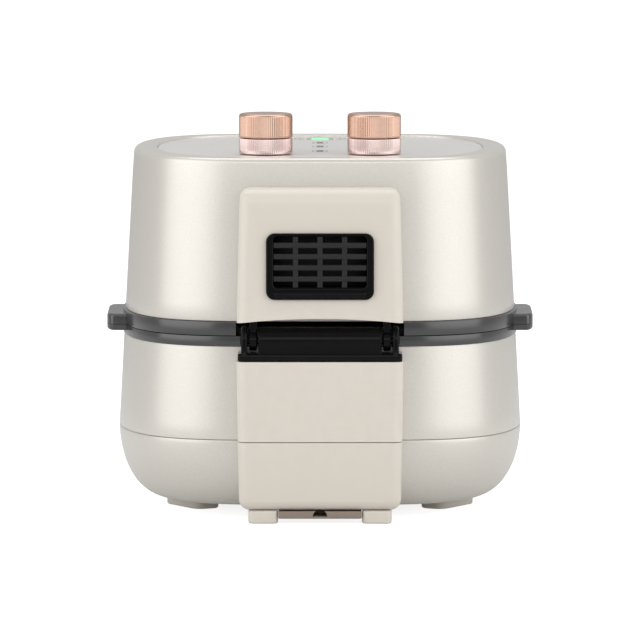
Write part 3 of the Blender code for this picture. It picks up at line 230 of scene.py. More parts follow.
def brushed_group():
    """Brushed or spun metal: long fine scratches along one axis of the given vector."""
    tree, given, out = new_group(
        "brushed_lines",
        [("Vector", "NodeSocketVector", None), ("Stretch", "NodeSocketVector", (1.0, 1.0, 1.0)),
         ("Smoothest", "NodeSocketFloat", 0.2), ("Roughest", "NodeSocketFloat", 0.4)],
        [("Height", "NodeSocketFloat"), ("Roughness", "NodeSocketFloat")])
    scale = add_node(tree, "ShaderNodeVectorMath", "MULTIPLY")
    lines = add_node(tree, "ShaderNodeTexNoise", Scale=1.0, Detail=4.0)
    wander = add_node(tree, "ShaderNodeMapRange")
    wire(tree,
         (given, "Vector", scale, 0), (given, "Stretch", scale, 1),
         (scale, "Vector", lines, "Vector"), (lines, "Fac", wander, "Value"),
         (given, "Smoothest", wander, "To Min"), (given, "Roughest", wander, "To Max"),
         (lines, "Fac", out, "Height"), (wander, "Result", out, "Roughness"))
    return tree


GROUPS = {"grain": fine_grain_group(), "pearl": pearl_group(), "edge": painted_edge_light_group(),
          "brushed": brushed_group()}


# ---------------------------------------------------------------- materials

class Finish:
    """One material: its shader, its object coordinates and short ways to add a group."""

    def __init__(self, name, colour, roughness, metallic=0.0, coat=0.0, coat_roughness=0.1):
        self.material = bpy.data.materials.new(name)
        self.material.use_nodes = True
        self.tree = self.material.node_tree
        self.shader = self.tree.nodes["Principled BSDF"]
        self.colour = (*colour, 1.0)
        self.shader.inputs["Base Color"].default_value = self.colour
        self.shader.inputs["Roughness"].default_value = roughness
        self.shader.inputs["Metallic"].default_value = metallic
        self.shader.inputs["Coat Weight"].default_value = coat
        self.shader.inputs["Coat Roughness"].default_value = coat_roughness
        self.place = self.tree.nodes.new("ShaderNodeTexCoord").outputs["Object"]

    def add(self, kind, **values):
        """Place a shared group, fed with the object coordinates."""
        node = self.tree.nodes.new("ShaderNodeGroup")
        node.node_tree = GROUPS[kind]
        self.tree.links.new(self.place, node.inputs["Vector"])
        for label, value in values.items():
            node.inputs[label.replace("_", " ")].default_value = value
        return node

    def bump(self, height, distance, strength=1.0):
        node = self.tree.nodes.new("ShaderNodeBump")
        node.inputs["Distance"].default_value = distance
        node.inputs["Strength"].default_value = strength
        self.tree.links.new(height, node.inputs["Height"])
        self.tree.links.new(node.outputs["Normal"], self.shader.inputs["Normal"])

    def dull(self, level):
        """Hold back the mirror-like part of the gloss."""
        self.shader.inputs["Specular IOR Level"].default_value = level

    def feed(self, output, socket):
        self.tree.links.new(output, self.shader.inputs[socket])


def pearl_paint(name, shade, light, roughness=0.38, metallic=0.52):
    finish = Finish(name, light, roughness, metallic, coat=0.7, coat_roughness=0.28)
    flakes = finish.add("pearl", Shade=(*shade, 1.0), Light=(*light, 1.0))
    finish.feed(flakes.outputs["Color"], "Base Color")
    finish.bump(flakes.outputs["Height"], 0.002 * MM, 0.5)
    return finish.material


def moulded_plastic(name, colour, edge, smoothest, roughest, grain=2600.0, depth=0.012 * MM, gloss=0.5):
    finish = Finish(name, colour, roughest)
    finish.dull(gloss)
    # Edge colour is a painted highlight on convex edges and fillets
    painted_edge_light = finish.add("edge", Color=(*colour, 1.0), Edge_Color=(*edge, 1.0), Amount=0.5)
    finish.feed(painted_edge_light.outputs["Color"], "Base Color")
    grain_node = finish.add("grain", Smoothest=smoothest, Roughest=roughest)
    grain_node.inputs["Grain per Metre"].default_value = grain
    finish.feed(grain_node.outputs["Roughness"], "Roughness")
    finish.bump(grain_node.outputs["Height"], depth)
    return finish.material


def metal(name, colour, stretch, smoothest, roughest, depth=0.006 * MM, hollow=0.0):
    finish = Finish(name, colour, roughest, metallic=1.0)
    # Painted highlight: edges a little lighter; painted shade: hollows between ribs darker by the hollow
    # amount
    painted_edge_light = finish.add("edge", Color=(*colour, 1.0), Amount=0.4, Hollow=hollow)
    painted_edge_light.inputs["Hollow Color"].default_value = (*[part * 0.45 for part in colour], 1.0)
    painted_edge_light.inputs["Edge Color"].default_value = (*[min(1.0, part * 1.15) for part in colour], 1.0)
    finish.feed(painted_edge_light.outputs["Color"], "Base Color")
    lines = finish.add("brushed", Stretch=stretch, Smoothest=smoothest, Roughest=roughest)
    finish.feed(lines.outputs["Roughness"], "Roughness")
    finish.bump(lines.outputs["Height"], depth)
    return finish.material


def lit_lens(name, colour, strength):
    finish = Finish(name, colour, 0.15, coat=0.6)
    glow = finish.add("grain", Smoothest=0.10, Roughest=0.25)
    finish.feed(glow.outputs["Roughness"], "Roughness")
    finish.shader.inputs["Emission Color"].default_value = finish.colour
    finish.shader.inputs["Emission Strength"].default_value = strength
    return finish.material


MATERIALS = {
    "pearl": pearl_paint("pearl_paint", (0.635, 0.606, 0.55), (0.705, 0.676, 0.62)),
    "panel": pearl_paint("top_panel_paint", (0.72, 0.70, 0.67), (0.78, 0.76, 0.73), 0.34, 0.25),
    # Second colour of each moulding: painted highlight on its convex edges
    "cream": moulded_plastic("cream_moulding", (0.64, 0.59, 0.52), (0.76, 0.72, 0.66), 0.36, 0.44, gloss=0.6),
    "taupe": moulded_plastic("taupe_moulding", (0.24, 0.195, 0.155), (0.32, 0.27, 0.22), 0.55, 0.68),
    "charcoal": moulded_plastic("charcoal_moulding", (0.022, 0.022, 0.023), (0.06, 0.06, 0.06), 0.17, 0.23,
                                gloss=1.0),
    "black": moulded_plastic("black_moulding", (0.003, 0.003, 0.003), (0.05, 0.05, 0.05), 0.14, 0.20,
                             gloss=0.11),
    "grille": moulded_plastic("grille_moulding", (0.016, 0.016, 0.016), (0.04, 0.04, 0.04), 0.34, 0.42,
                              gloss=0.2),
    "dark_trim": moulded_plastic("dark_print", (0.10, 0.10, 0.095), (0.14, 0.14, 0.14), 0.45, 0.55),
    # Last number of each rose knob finish: painted shade in the rib hollows
    "rose": metal("rose_gold_cap", (0.67, 0.44, 0.34), (300.0, 300.0, 300.0), 0.18, 0.24, 0.0005 * MM, 0.5),
    "rose_pale": metal("rose_gold_collar", (0.72, 0.57, 0.54), (300.0, 300.0, 300.0), 0.18, 0.26,
                       0.0003 * MM, 0.35),
    # Near-black steel: painted shade on the hinge pin, the exhaust duct and the sheet behind the vent
    "pin_steel": metal("blackened_pin", (0.02, 0.02, 0.02), (400.0, 400.0, 400.0), 0.45, 0.55),
    "print": moulded_plastic("grey_print", (0.42, 0.42, 0.41), (0.42, 0.42, 0.41), 0.45, 0.55),
    "steel": metal("plain_steel", (0.56, 0.56, 0.55), (900.0, 120.0, 900.0), 0.26, 0.42),
    "element": metal("element_tube", (0.20, 0.19, 0.18), (500.0, 500.0, 500.0), 0.40, 0.60),
    "nonstick": moulded_plastic("nonstick_coating", (0.030, 0.030, 0.032), (0.05, 0.05, 0.05), 0.30, 0.44,
                                1400.0, 0.02 * MM),
    "silicone": moulded_plastic("dark_silicone", (0.07, 0.07, 0.07), (0.10, 0.10, 0.10), 0.65, 0.78),
    "circuit": moulded_plastic("circuit_board", (0.02, 0.15, 0.06), (0.05, 0.22, 0.10), 0.40, 0.55),
    "lens": lit_lens("green_lens", (0.10, 0.78, 0.30), 0.9),
}


# ---------------------------------------------------------------- mesh helpers

def link(obj):
    if obj.name not in bpy.context.scene.collection.objects:
        bpy.context.scene.collection.objects.link(obj)
    return obj


def mesh_object(name, bm):
    mesh = bpy.data.meshes.new(name)
    bm.to_mesh(mesh)
    bm.free()
    return link(bpy.data.objects.new(name, mesh))


def settle(obj, move=None):
    """Turn an object and its modifiers into a plain mesh at the origin."""
    bpy.context.view_layer.update()
    graph = bpy.context.evaluated_depsgraph_get()
    mesh = bpy.data.meshes.new_from_object(obj.evaluated_get(graph))
    mesh.transform(obj.matrix_world)
    if move:
        mesh.transform(Matrix.Translation(move))
    name = obj.name
    bpy.data.objects.remove(obj, do_unlink=True)
    mesh.name = name
    return link(bpy.data.objects.new(name, mesh))


def tidy(obj, recalculate=True):
    """Merge doubles and turn every face outwards."""
    bm = bmesh.new()
    bm.from_mesh(obj.data)
    bmesh.ops.remove_doubles(bm, verts=bm.verts, dist=0.000002)
    if recalculate:
        bmesh.ops.recalc_face_normals(bm, faces=bm.faces)
    bm.to_mesh(obj.data)
    bm.free()
    return obj


def combine(obj, *tools, operation="DIFFERENCE"):
    """Cut obj with tools, or join them to it, and leave a plain mesh."""
    for tool in tools:
        modifier = obj.modifiers.new("tool", "BOOLEAN")
        modifier.operation = operation
        modifier.object = tool
        modifier.solver = "EXACT"
    obj = settle(obj)
    for tool in tools:
        bpy.data.objects.remove(tool, do_unlink=True)
    return obj


def dress(obj, material, body, *replaced, sharp=32.0):
    """Finish a piece: its material, its shading, the body it rides on and the CAD nodes it stands for."""
    obj.data.materials.clear()
    obj.data.materials.append(MATERIALS[material])
    obj.data.shade_smooth()
    obj.data.set_sharp_from_angle(angle=math.radians(sharp))
    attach(obj, body)
    if replaced:
        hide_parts(*replaced)
    return obj


def arc(centre, radii, start, end, steps=6):
    """Points on an elliptical arc between two angles in degrees."""
    points = []
    for step in range(steps + 1):
        angle = math.radians(start + (end - start) * step / steps)
        points.append((centre[0] + radii[0] * math.cos(angle), centre[1] + radii[1] * math.sin(angle)))
    return points


def plan_loft(name, profile, closed=True, facets=FACETS):
    """Loft the squircle plan through each (half-width, height) of a profile."""
    bm = bmesh.new()
    rings = []
    angles = plan_angles(facets)
    for half, z in profile:
        rings.append([bm.verts.new((*plan_point(half, angle), z)) for angle in angles])
    pairs = list(zip(rings, rings[1:]))
    if closed:
        pairs.append((rings[-1], rings[0]))
    for first, second in pairs:
        for step in range(facets):
            after = (step + 1) % facets
            bm.faces.new((first[step], first[after], second[after], second[step]))
    if not closed:
        bm.faces.new(list(reversed(rings[0])))
        bm.faces.new(rings[-1])
    bmesh.ops.recalc_face_normals(bm, faces=bm.faces)
    return mesh_object(name, bm)


def turned(name, profile, closed=False, sides=ROUND, place=(0.0, 0.0)):
    """Turn a profile of (radius, height) about an upright axis."""
    bm = bmesh.new()
    verts = [bm.verts.new((radius, 0.0, z)) for radius, z in profile]
    edges = [bm.edges.new(pair) for pair in zip(verts, verts[1:])]
    if closed:
        edges.append(bm.edges.new((verts[-1], verts[0])))
    bmesh.ops.spin(bm, geom=verts + edges, cent=(0.0, 0.0, 0.0), axis=(0.0, 0.0, 1.0),
                   angle=2.0 * math.pi, steps=sides, use_merge=True)
    bmesh.ops.remove_doubles(bm, verts=bm.verts, dist=0.000002)
    bmesh.ops.recalc_face_normals(bm, faces=bm.faces)
    bmesh.ops.translate(bm, verts=bm.verts, vec=(place[0], place[1], 0.0))
    return mesh_object(name, bm)


def rounded_outline(width, height, radius, centre=(0.0, 0.0), steps=8):
    """Points of a rectangle with round corners, anticlockwise."""
    points = []
    for corner, (sx, sy) in enumerate(((1, 1), (-1, 1), (-1, -1), (1, -1))):
        middle = (centre[0] + sx * (width / 2.0 - radius), centre[1] + sy * (height / 2.0 - radius))
        points += arc(middle, (radius, radius), 90.0 * corner, 90.0 * (corner + 1), steps)
    return points


FACINGS = {
    "Z": Matrix.Identity(4),
    "Y": Matrix.Rotation(math.radians(90.0), 4, "X"),
    "X": Matrix(((0, 0, 1, 0), (1, 0, 0, 0), (0, 1, 0, 0), (0, 0, 0, 1))),
}


def slab(name, outlines, start, end, facing="Z", edge=0.6 * MM, steps=3):
    """A flat outline, with holes if it has more outlines, thickened, with rounded edges."""
    curve = bpy.data.curves.new(name, "CURVE")
    curve.dimensions = "2D"
    curve.fill_mode = "BOTH"
    curve.extrude = (end - start) / 2.0 - edge
    curve.bevel_depth = edge
    curve.bevel_resolution = steps
    curve.offset = -edge
    for outline in outlines:
        spline = curve.splines.new("POLY")
        spline.points.add(len(outline) - 1)
        for point, (u, v) in zip(spline.points, outline):
            point.co = (u, v, 0.0, 1.0)
        spline.use_cyclic_u = True
    drawn = link(bpy.data.objects.new(name, curve))
    middle = (start + end) / 2.0
    offset = {"Z": (0.0, 0.0, middle), "Y": (0.0, middle, 0.0), "X": (middle, 0.0, 0.0)}[facing]
    drawn.matrix_world = Matrix.Translation(offset) @ FACINGS[facing]
    return tidy(settle(drawn))


def block(name, lower, upper, edge=0.0, steps=4):
    """A box between two corners, with rounded edges where asked."""
    lower, upper = Vector(lower), Vector(upper)
    bm = bmesh.new()
    bmesh.ops.create_cube(bm, size=1.0)
    size, centre = upper - lower, (lower + upper) / 2.0
    for vert in bm.verts:
        vert.co = centre + Vector(vert.co[axis] * size[axis] for axis in range(3))
    if edge:
        bmesh.ops.bevel(bm, geom=list(bm.edges), offset=edge, segments=steps, profile=0.5, affect="EDGES")
    return mesh_object(name, bm)


def rod(name, radius, start, end, sides=48):
    """A cylinder between two points."""
    start, end = Vector(start), Vector(end)
    bm = bmesh.new()
    turn = (end - start).to_track_quat("Z", "Y").to_matrix().to_4x4()
    bmesh.ops.create_cone(bm, cap_ends=True, segments=sides, radius1=radius, radius2=radius,
                          depth=(end - start).length, matrix=Matrix.Translation((start + end) / 2.0) @ turn)
    return mesh_object(name, bm)


def rounded_profile(inner, outer, bottom, top, edge, steps=4):
    """A closed rectangle profile with rounded corners, for rings."""
    return rounded_outline(outer - inner, top - bottom, edge,
                           ((inner + outer) / 2.0, (bottom + top) / 2.0), steps)


# ---------------------------------------------------------------- painted shells

def make_lid_shell():
    bottom, top = low("lid_shell").z, TOP_Z
    edge = 0.6 * MM
    outer = arc((half_width(bottom) - edge, bottom + edge), (edge, edge), -90.0, 0.0, 3)
    for step in range(1, 9):
        z = bottom + (top - 6.0 * MM - bottom) * step / 9.0
        outer.append((half_width(z), z))
    fillet = 4.2 * MM
    outer += arc((half_width(top) - fillet, top - fillet), (fillet, fillet), 3.0, 90.0, 9)
    lip = high("lid_top_panel").x + GAP
    ledge = low("lid_top_panel").z - GAP
    outer += arc((lip + 0.8 * MM, top - 0.8 * MM), (0.8 * MM, 0.8 * MM), 90.0, 180.0, 4)
    outer += [(lip, ledge), (lip - 6.0 * MM, ledge), (lip - 6.0 * MM, ledge - WALL)]
    inner = [(half_width(top) - 8.0 * MM, top - WALL - 4.0 * MM)]
    inner += [(half_width(z) - WALL, z) for z in (top - 12.0 * MM, (bottom + top) / 2.0, bottom)]
    shell = plan_loft("lid_shell_painted", outer + inner)
    duct_low, duct_high = low("exhaust_duct"), high("exhaust_duct")
    back = -(half_width(duct_low.z) - DEPTH_CUT)
    window = block("duct_window", (duct_low.x - GAP, back - 10.0 * MM, duct_low.z - GAP),
                   (duct_high.x + GAP, back + 15.0 * MM, duct_high.z + GAP))
    shell = combine(shell, window)
    dress(shell, "pearl", "lid", "lid_shell")


def make_body_shells():
    bottom, top = low("body_shell").z, high("body_shell").z
    edge = 0.7 * MM
    outer = arc((half_width(bottom) - edge, bottom + edge), (edge, edge), -90.0, 0.0, 4)
    outer += [(half_width(z), z) for z in (bottom + 12.0 * MM, bottom + 30.0 * MM, bottom + 52.0 * MM, top)]
    inner = [(half_width(top) - WALL, top), (half_width(bottom) - WALL, bottom)]
    dress(plan_loft("body_shell_painted", outer + inner), "pearl", "base", "body_shell")

    top = high("base_tub").z
    outer = []
    steps = 22
    for step in range(steps + 1):
        z = SEAM_Z - (SEAM_Z - FLOOR_Z) * math.sin(math.radians(90.0 * (steps - step) / steps))
        if z < top - edge:
            outer.append((half_width(z), z))
    outer += arc((half_width(top) - edge, top - edge), (edge, edge), 0.0, 90.0, 4)
    inner = [(half - WALL * 1.05, z + WALL) for half, z in reversed(outer) if z + WALL < top - edge]
    inner.insert(0, (half_width(top) - WALL, top))
    tub = plan_loft("base_tub_painted", outer + inner, closed=False)
    dress(tub, "pearl", "base", "base_tub")


# ---------------------------------------------------------------- rings and grips

def grip(name, side, above):
    """One half of a side grip, above or below the split, that grows out of a ring."""
    reach = high("pot_rim_ring").x
    bottom, top = SPLIT_Z - 5.0 * MM, SPLIT_Z + 8.6 * MM
    root = RING_HALF - 9.0 * MM
    half_length = 47.5 * MM
    bend = (5.5 * MM, 15.0 * MM)
    near = [(root, -half_length)]
    near += arc((reach - bend[0], -half_length + bend[1]), bend, -90.0, 0.0, 10)
    outline = near + [(u, -v) for u, v in reversed(near)]
    if side < 0:
        outline = [(-u, v) for u, v in reversed(outline)]
    whole = slab(name, [outline], bottom, top, edge=2.2 * MM, steps=5)
    edge_z = SPLIT_Z + (0.5 if above else -0.5) * GAP
    spare = (bottom - 0.01, edge_z) if above else (edge_z, top + 0.01)
    return combine(whole, block("spare", (-0.2, -0.1, spare[0]), (0.2, 0.1, spare[1])))


def make_rings():
    inner = RING_HALF - 21.0 * MM
    for node, name, body, above, edge in (("pot_rim_ring", "pot_rim_band", "base", False, 0.5 * MM),
                                          ("lid_ring", "lid_rim_band", "lid", True, 0.7 * MM)):
        bottom, top = low(node).z, high(node).z
        ring = plan_loft(name, rounded_profile(inner, RING_HALF, bottom, top, edge))
        ring = combine(ring, *[grip(f"grip_{side}", side, above) for side in (-1, 1)], operation="UNION")
        if above:
            half = high("rear_housing_lower").x + 0.6 * MM
            notch = block("notch", (-half, BOX_BACK, bottom - 2.0 * MM), (half, -0.06, top + 2.0 * MM))
            ring = combine(ring, notch)
        dress(ring, "charcoal", body, node)


# ---------------------------------------------------------------- rear box

def box_block(name, halves, y_span, z_span, side_round, end_round=0.0, end="top"):
    """A tapering block; its upright back edges are rounded and so, if asked, its top or bottom edges."""
    bm = bmesh.new()
    bmesh.ops.create_cube(bm, size=1.0)
    for vert in bm.verts:
        upper = vert.co.z > 0.0
        half = halves[1] if upper else halves[0]
        vert.co.x = math.copysign(half, vert.co.x)
        vert.co.y = y_span[1] if vert.co.y > 0.0 else y_span[0]
        vert.co.z = z_span[1] if upper else z_span[0]
    widest = max(side_round, end_round)
    weights = bm.edges.layers.float.new("bevel_weight_edge")
    for edge in bm.edges:
        first, second = (vert.co for vert in edge.verts)
        upright = abs(first.z - second.z) > 1.0 * MM
        at_back = max(first.y, second.y) < y_span[0] + 0.01 * MM
        at_front = min(first.y, second.y) > y_span[1] - 0.01 * MM
        across = abs(first.x - second.x) > 1.0 * MM
        end_z = z_span[1] if end == "top" else z_span[0]
        at_end = abs(first.z - end_z) < 0.01 * MM and abs(second.z - end_z) < 0.01 * MM
        if at_back and upright:
            edge[weights] = side_round / widest
        elif end_round and at_end and not at_front:
            edge[weights] = (end_round if across else side_round) / widest
    obj = mesh_object(name, bm)
    bevel = obj.modifiers.new("rounding", "BEVEL")
    bevel.limit_method = "WEIGHT"
    bevel.width = widest
    bevel.segments = 10
    return settle(obj)


def body_volume(name, halves_and_heights):
    return plan_loft(name, halves_and_heights, closed=False, facets=FACETS // 2)


def make_rear_box():
    floor, roof = low("rear_housing_upper"), high("rear_housing_upper")
    wide, narrow = high("rear_housing_upper").x, 64.15 * MM
    upper = box_block("rear_box_upper", (wide, narrow), (floor.y, roof.y), (floor.z, roof.z),
                      8.5 * MM, 12.5 * MM)
    wall = 2.5 * MM
    arch_rise = 4.0 * MM
    inner = box_block("hollow", (wide - wall, narrow - wall), (floor.y + wall, roof.y + 5.0 * MM),
                      (floor.z + arch_rise + wall, roof.z - wall), 6.0 * MM, 10.0 * MM)
    seat_low, seat_high = floor.z - 5.0 * MM, TOP_Z
    seat = body_volume("seat", [(half_width(z) + GAP, z) for z in (seat_low, seat_high)])
    chord = wide + 1.0 * MM
    radius = (chord ** 2 + arch_rise ** 2) / (2.0 * arch_rise)
    swing = math.degrees(math.asin(chord / radius))
    outline = arc((0.0, floor.z + arch_rise - radius), (radius, radius), 90.0 - swing, 90.0 + swing, 48)
    outline += [(-chord, floor.z - 9.0 * MM), (chord, floor.z - 9.0 * MM)]
    arch = slab("arch", [outline], floor.y - 5.0 * MM, roof.y + 10.0 * MM, "Y", edge=0.05 * MM, steps=0)
    duct_low, duct_high = low("exhaust_duct"), high("exhaust_duct")
    window = block("window", (duct_low.x - GAP, floor.y - 5.0 * MM, duct_low.z - GAP),
                   (duct_high.x + GAP, floor.y + 5.0 * MM, duct_high.z + GAP))
    holes = []
    for side in ("left", "right"):
        arm_low, arm_high = low(f"hinge_arm_{side}"), high(f"hinge_arm_{side}")
        holes.append(block(f"arm_hole_{side}", (arm_low.x - GAP, HINGE.y - 4.3 * MM, floor.z - 1.0 * MM),
                           (arm_high.x + GAP, HINGE.y + 4.3 * MM, floor.z + 10.0 * MM)))
    upper = combine(upper, inner, seat, arch, window, *holes)
    dress(upper, "cream", "lid", "rear_housing_upper", sharp=28.0)

    bowl = [(half_width(z) + GAP, z - GAP) for z in tub_heights(20)]
    step_z = low("pot_rim_ring").z - GAP
    rim = [(half_width(step_z) + GAP, step_z)]
    floor, roof = low("rear_housing_lower"), high("rear_housing_lower")
    halves = (floor.x * -1.0 - 0.9 * MM, high("rear_housing_lower").x)
    middle = box_block("rear_box_middle", halves, (floor.y, roof.y), (floor.z, roof.z), 8.5 * MM)
    inner = box_block("hollow", (halves[0] - wall, halves[1] - wall), (floor.y + wall, roof.y + 5.0 * MM),
                      (floor.z - 3.0 * MM, roof.z + 3.0 * MM), 6.0 * MM)
    middle = combine(middle, inner, body_volume("seat", bowl + rim))
    dress(middle, "cream", "base", "rear_housing_lower", sharp=28.0)

    floor, roof = low("rear_housing_base"), high("rear_housing_base")
    base = box_block("rear_box_base", (65.0 * MM, halves[0]), (floor.y, roof.y), (floor.z, roof.z),
                     8.5 * MM, 8.5 * MM, end="bottom")
    inner = box_block("hollow", (65.0 * MM - wall, halves[0] - wall), (floor.y + wall, roof.y + 5.0 * MM),
                      (floor.z + wall, roof.z + 3.0 * MM), 6.0 * MM, 6.0 * MM, end="bottom")
    base = combine(base, inner, body_volume("seat", bowl + rim), cord_passage("passage"))
    dress(base, "cream", "base", "rear_housing_base", sharp=28.0)


def tub_heights(steps):
    depth = SEAM_Z - FLOOR_Z
    return [SEAM_Z - depth * math.sin(math.radians(90.0 * step / steps)) for step in range(steps, -1, -1)]


def cord_passage(name):
    """The half-round passage in the underside."""
    sill = low("base_plate").z + 1.7 * MM
    outline = arc((0.0, sill), (5.8 * MM, 5.8 * MM), 0.0, 180.0, 32)
    return slab(name, [outline], BOX_BACK - 3.0 * MM, BOX_BACK + 22.0 * MM, "Y", edge=0.05 * MM, steps=0)


# ---------------------------------------------------------------- hinge

def make_hinge():
    bottom, top = low("hinge_housing").z, high("hinge_housing").z
    back, front = low("hinge_housing").y, high("hinge_housing").y
    half = high("hinge_housing").x
    depth = HINGE.y - back
    rise = top - HINGE.z
    slot_inner, slot_outer = 49.5 * MM, 58.0 * MM
    slot_floor = HINGE.z - 9.5 * MM
    foot = [(front, bottom), (front, slot_floor), (back + 1.2 * MM, slot_floor)]
    foot += arc((back + 3.0 * MM, slot_floor - 3.0 * MM), (3.0 * MM, 3.0 * MM), 120.0, 180.0, 5)
    foot += arc((back + 3.0 * MM, bottom + 3.0 * MM), (3.0 * MM, 3.0 * MM), 180.0, 270.0, 5)
    housing = slab("hinge_body", [foot], -half, half, "X", edge=1.2 * MM)

    cover = arc((HINGE.y, HINGE.z), (depth, rise), 0.0, 180.0, 40)
    cover += [(back + 0.2 * MM, HINGE.z - 4.0 * MM), (back + 1.2 * MM, slot_floor + 1.5 * MM),
              (back + 0.8 * MM, slot_floor - 3.0 * MM), (HINGE.y + depth, slot_floor - 3.0 * MM)]
    cover = slab("cover", [list(reversed(cover))], -slot_inner, slot_inner, "X", edge=1.0 * MM)
    crown = 1.8 * MM
    for vert in cover.data.vertices:
        if vert.co.z > HINGE.z:
            share = (vert.co.x / slot_inner) ** 2
            vert.co.z -= crown * share * (vert.co.z - HINGE.z) / rise
    parts = [cover]
    for side in (-1, 1):
        inner, outer = sorted((side * (slot_outer + 0.3 * MM), side * (half - 2.6 * MM)))
        ear = arc((HINGE.y, HINGE.z), (depth - 0.4 * MM, rise - 0.8 * MM), 0.0, 180.0, 32)
        ear += [(back + 0.4 * MM, slot_floor - 3.0 * MM), (HINGE.y + depth - 0.4 * MM, slot_floor - 3.0 * MM)]
        parts.append(slab(f"ear_{side}", [list(reversed(ear))], inner, outer, "X", edge=1.9 * MM, steps=4))
    housing = combine(housing, *parts, operation="UNION")
    step_z = low("pot_rim_ring").z - GAP
    seat = body_volume("seat", [(half_width(z) + GAP, z) for z in (bottom - 5.0 * MM, step_z)]
                       + [(RING_HALF + GAP, step_z), (RING_HALF + GAP, SPLIT_Z + GAP)])
    bore = rod("bore", 3.3 * MM, (-half - 5.0 * MM, HINGE.y, HINGE.z), (half + 5.0 * MM, HINGE.y, HINGE.z))
    room = rod("room", 8.0 * MM, (-23.0 * MM, HINGE.y, HINGE.z), (23.0 * MM, HINGE.y, HINGE.z))
    housing = combine(housing, seat, bore, room)
    dress(housing, "black", "base", "hinge_housing")

    for label in ("left", "right"):
        name = f"hinge_arm_{label}"
        lower, upper = low(name), high(name)
        eye = arc((HINGE.y, HINGE.z), (8.0 * MM, 8.0 * MM), 120.0, 420.0, 48)
        leg = [(HINGE.y + 4.0 * MM, upper.z - 8.0 * MM), (upper.y, upper.z - 8.0 * MM), (upper.y, upper.z),
               (HINGE.y - 4.0 * MM, upper.z)]
        hole = arc((HINGE.y, HINGE.z), (3.3 * MM, 3.3 * MM), 0.0, 350.0, 35)
        arm = slab(f"{name}_moulding", [eye + leg, hole], lower.x, upper.x, "X", edge=0.7 * MM)
        dress(arm, "black", "lid", name)


# ---------------------------------------------------------------- vent

def new_geometry_tree(name, inputs):
    """An empty Geometry Nodes tree with named inputs, and its link maker."""
    tree = bpy.data.node_groups.new(name, "GeometryNodeTree")
    for label, kind in inputs:
        tree.interface.new_socket(name=label, in_out="INPUT", socket_type=f"NodeSocket{kind}")
    tree.interface.new_socket(name="Geometry", in_out="OUTPUT", socket_type="NodeSocketGeometry")
    return tree, tree.nodes.new("NodeGroupInput"), tree.nodes.new("NodeGroupOutput")


def finish_tree(tree, given, out, source, output):
    """End a tree by making its copies real and giving them their material."""
    real = add_node(tree, "GeometryNodeRealizeInstances")
    paint = add_node(tree, "GeometryNodeSetMaterial")
    wire(tree, (source, output, real, "Geometry"), (real, "Geometry", paint, "Geometry"),
         (given, "Material", paint, "Material"), (paint, "Geometry", out, "Geometry"))
    return tree


def slat_tree():
    """Parallel rounded bars in a row: a profile swept along a line, repeated at a pitch."""
    tree, given, out = new_geometry_tree("vent_bars", (
        ("Count", "Int"), ("Pitch", "Vector"), ("Start", "Vector"), ("Run", "Vector"), ("Thick", "Float"),
        ("Deep", "Float"), ("Rounding", "Float"), ("Material", "Material")))
    row = add_node(tree, "GeometryNodeMeshLine")
    line = add_node(tree, "GeometryNodeCurvePrimitiveLine")
    section = add_node(tree, "GeometryNodeCurvePrimitiveQuadrilateral")
    rounding = add_node(tree, "GeometryNodeFilletCurve")
    rounding.mode = "POLY"
    rounding.inputs["Count"].default_value = 4
    sweep = add_node(tree, "GeometryNodeCurveToMesh", Fill_Caps=True)
    place = add_node(tree, "GeometryNodeInstanceOnPoints")
    wire(tree,
         (given, "Count", row, "Count"), (given, "Start", row, "Start Location"),
         (given, "Pitch", row, "Offset"), (given, "Run", line, "End"),
         (given, "Thick", section, "Width"), (given, "Deep", section, "Height"),
         (section, "Curve", rounding, "Curve"), (given, "Rounding", rounding, "Radius"),
         (line, "Curve", sweep, "Curve"), (rounding, "Curve", sweep, "Profile Curve"),
         (row, "Mesh", place, "Points"), (sweep, "Mesh", place, "Instance"))
    return finish_tree(tree, given, out, place, "Instances")


def from_tree(name, tree, start_mesh=None, move=None, **values):
    """Run a Geometry Nodes tree with named inputs and keep the result as a plain mesh."""
    obj = link(bpy.data.objects.new(name, start_mesh or bpy.data.meshes.new(name)))
    modifier = obj.modifiers.new("build", "NODES")
    modifier.node_group = tree
    for item in tree.interface.items_tree:
        if item.in_out == "INPUT" and item.name.replace(" ", "_") in values:
            modifier[item.identifier] = values[item.name.replace(" ", "_")]
    return tidy(settle(obj, move))


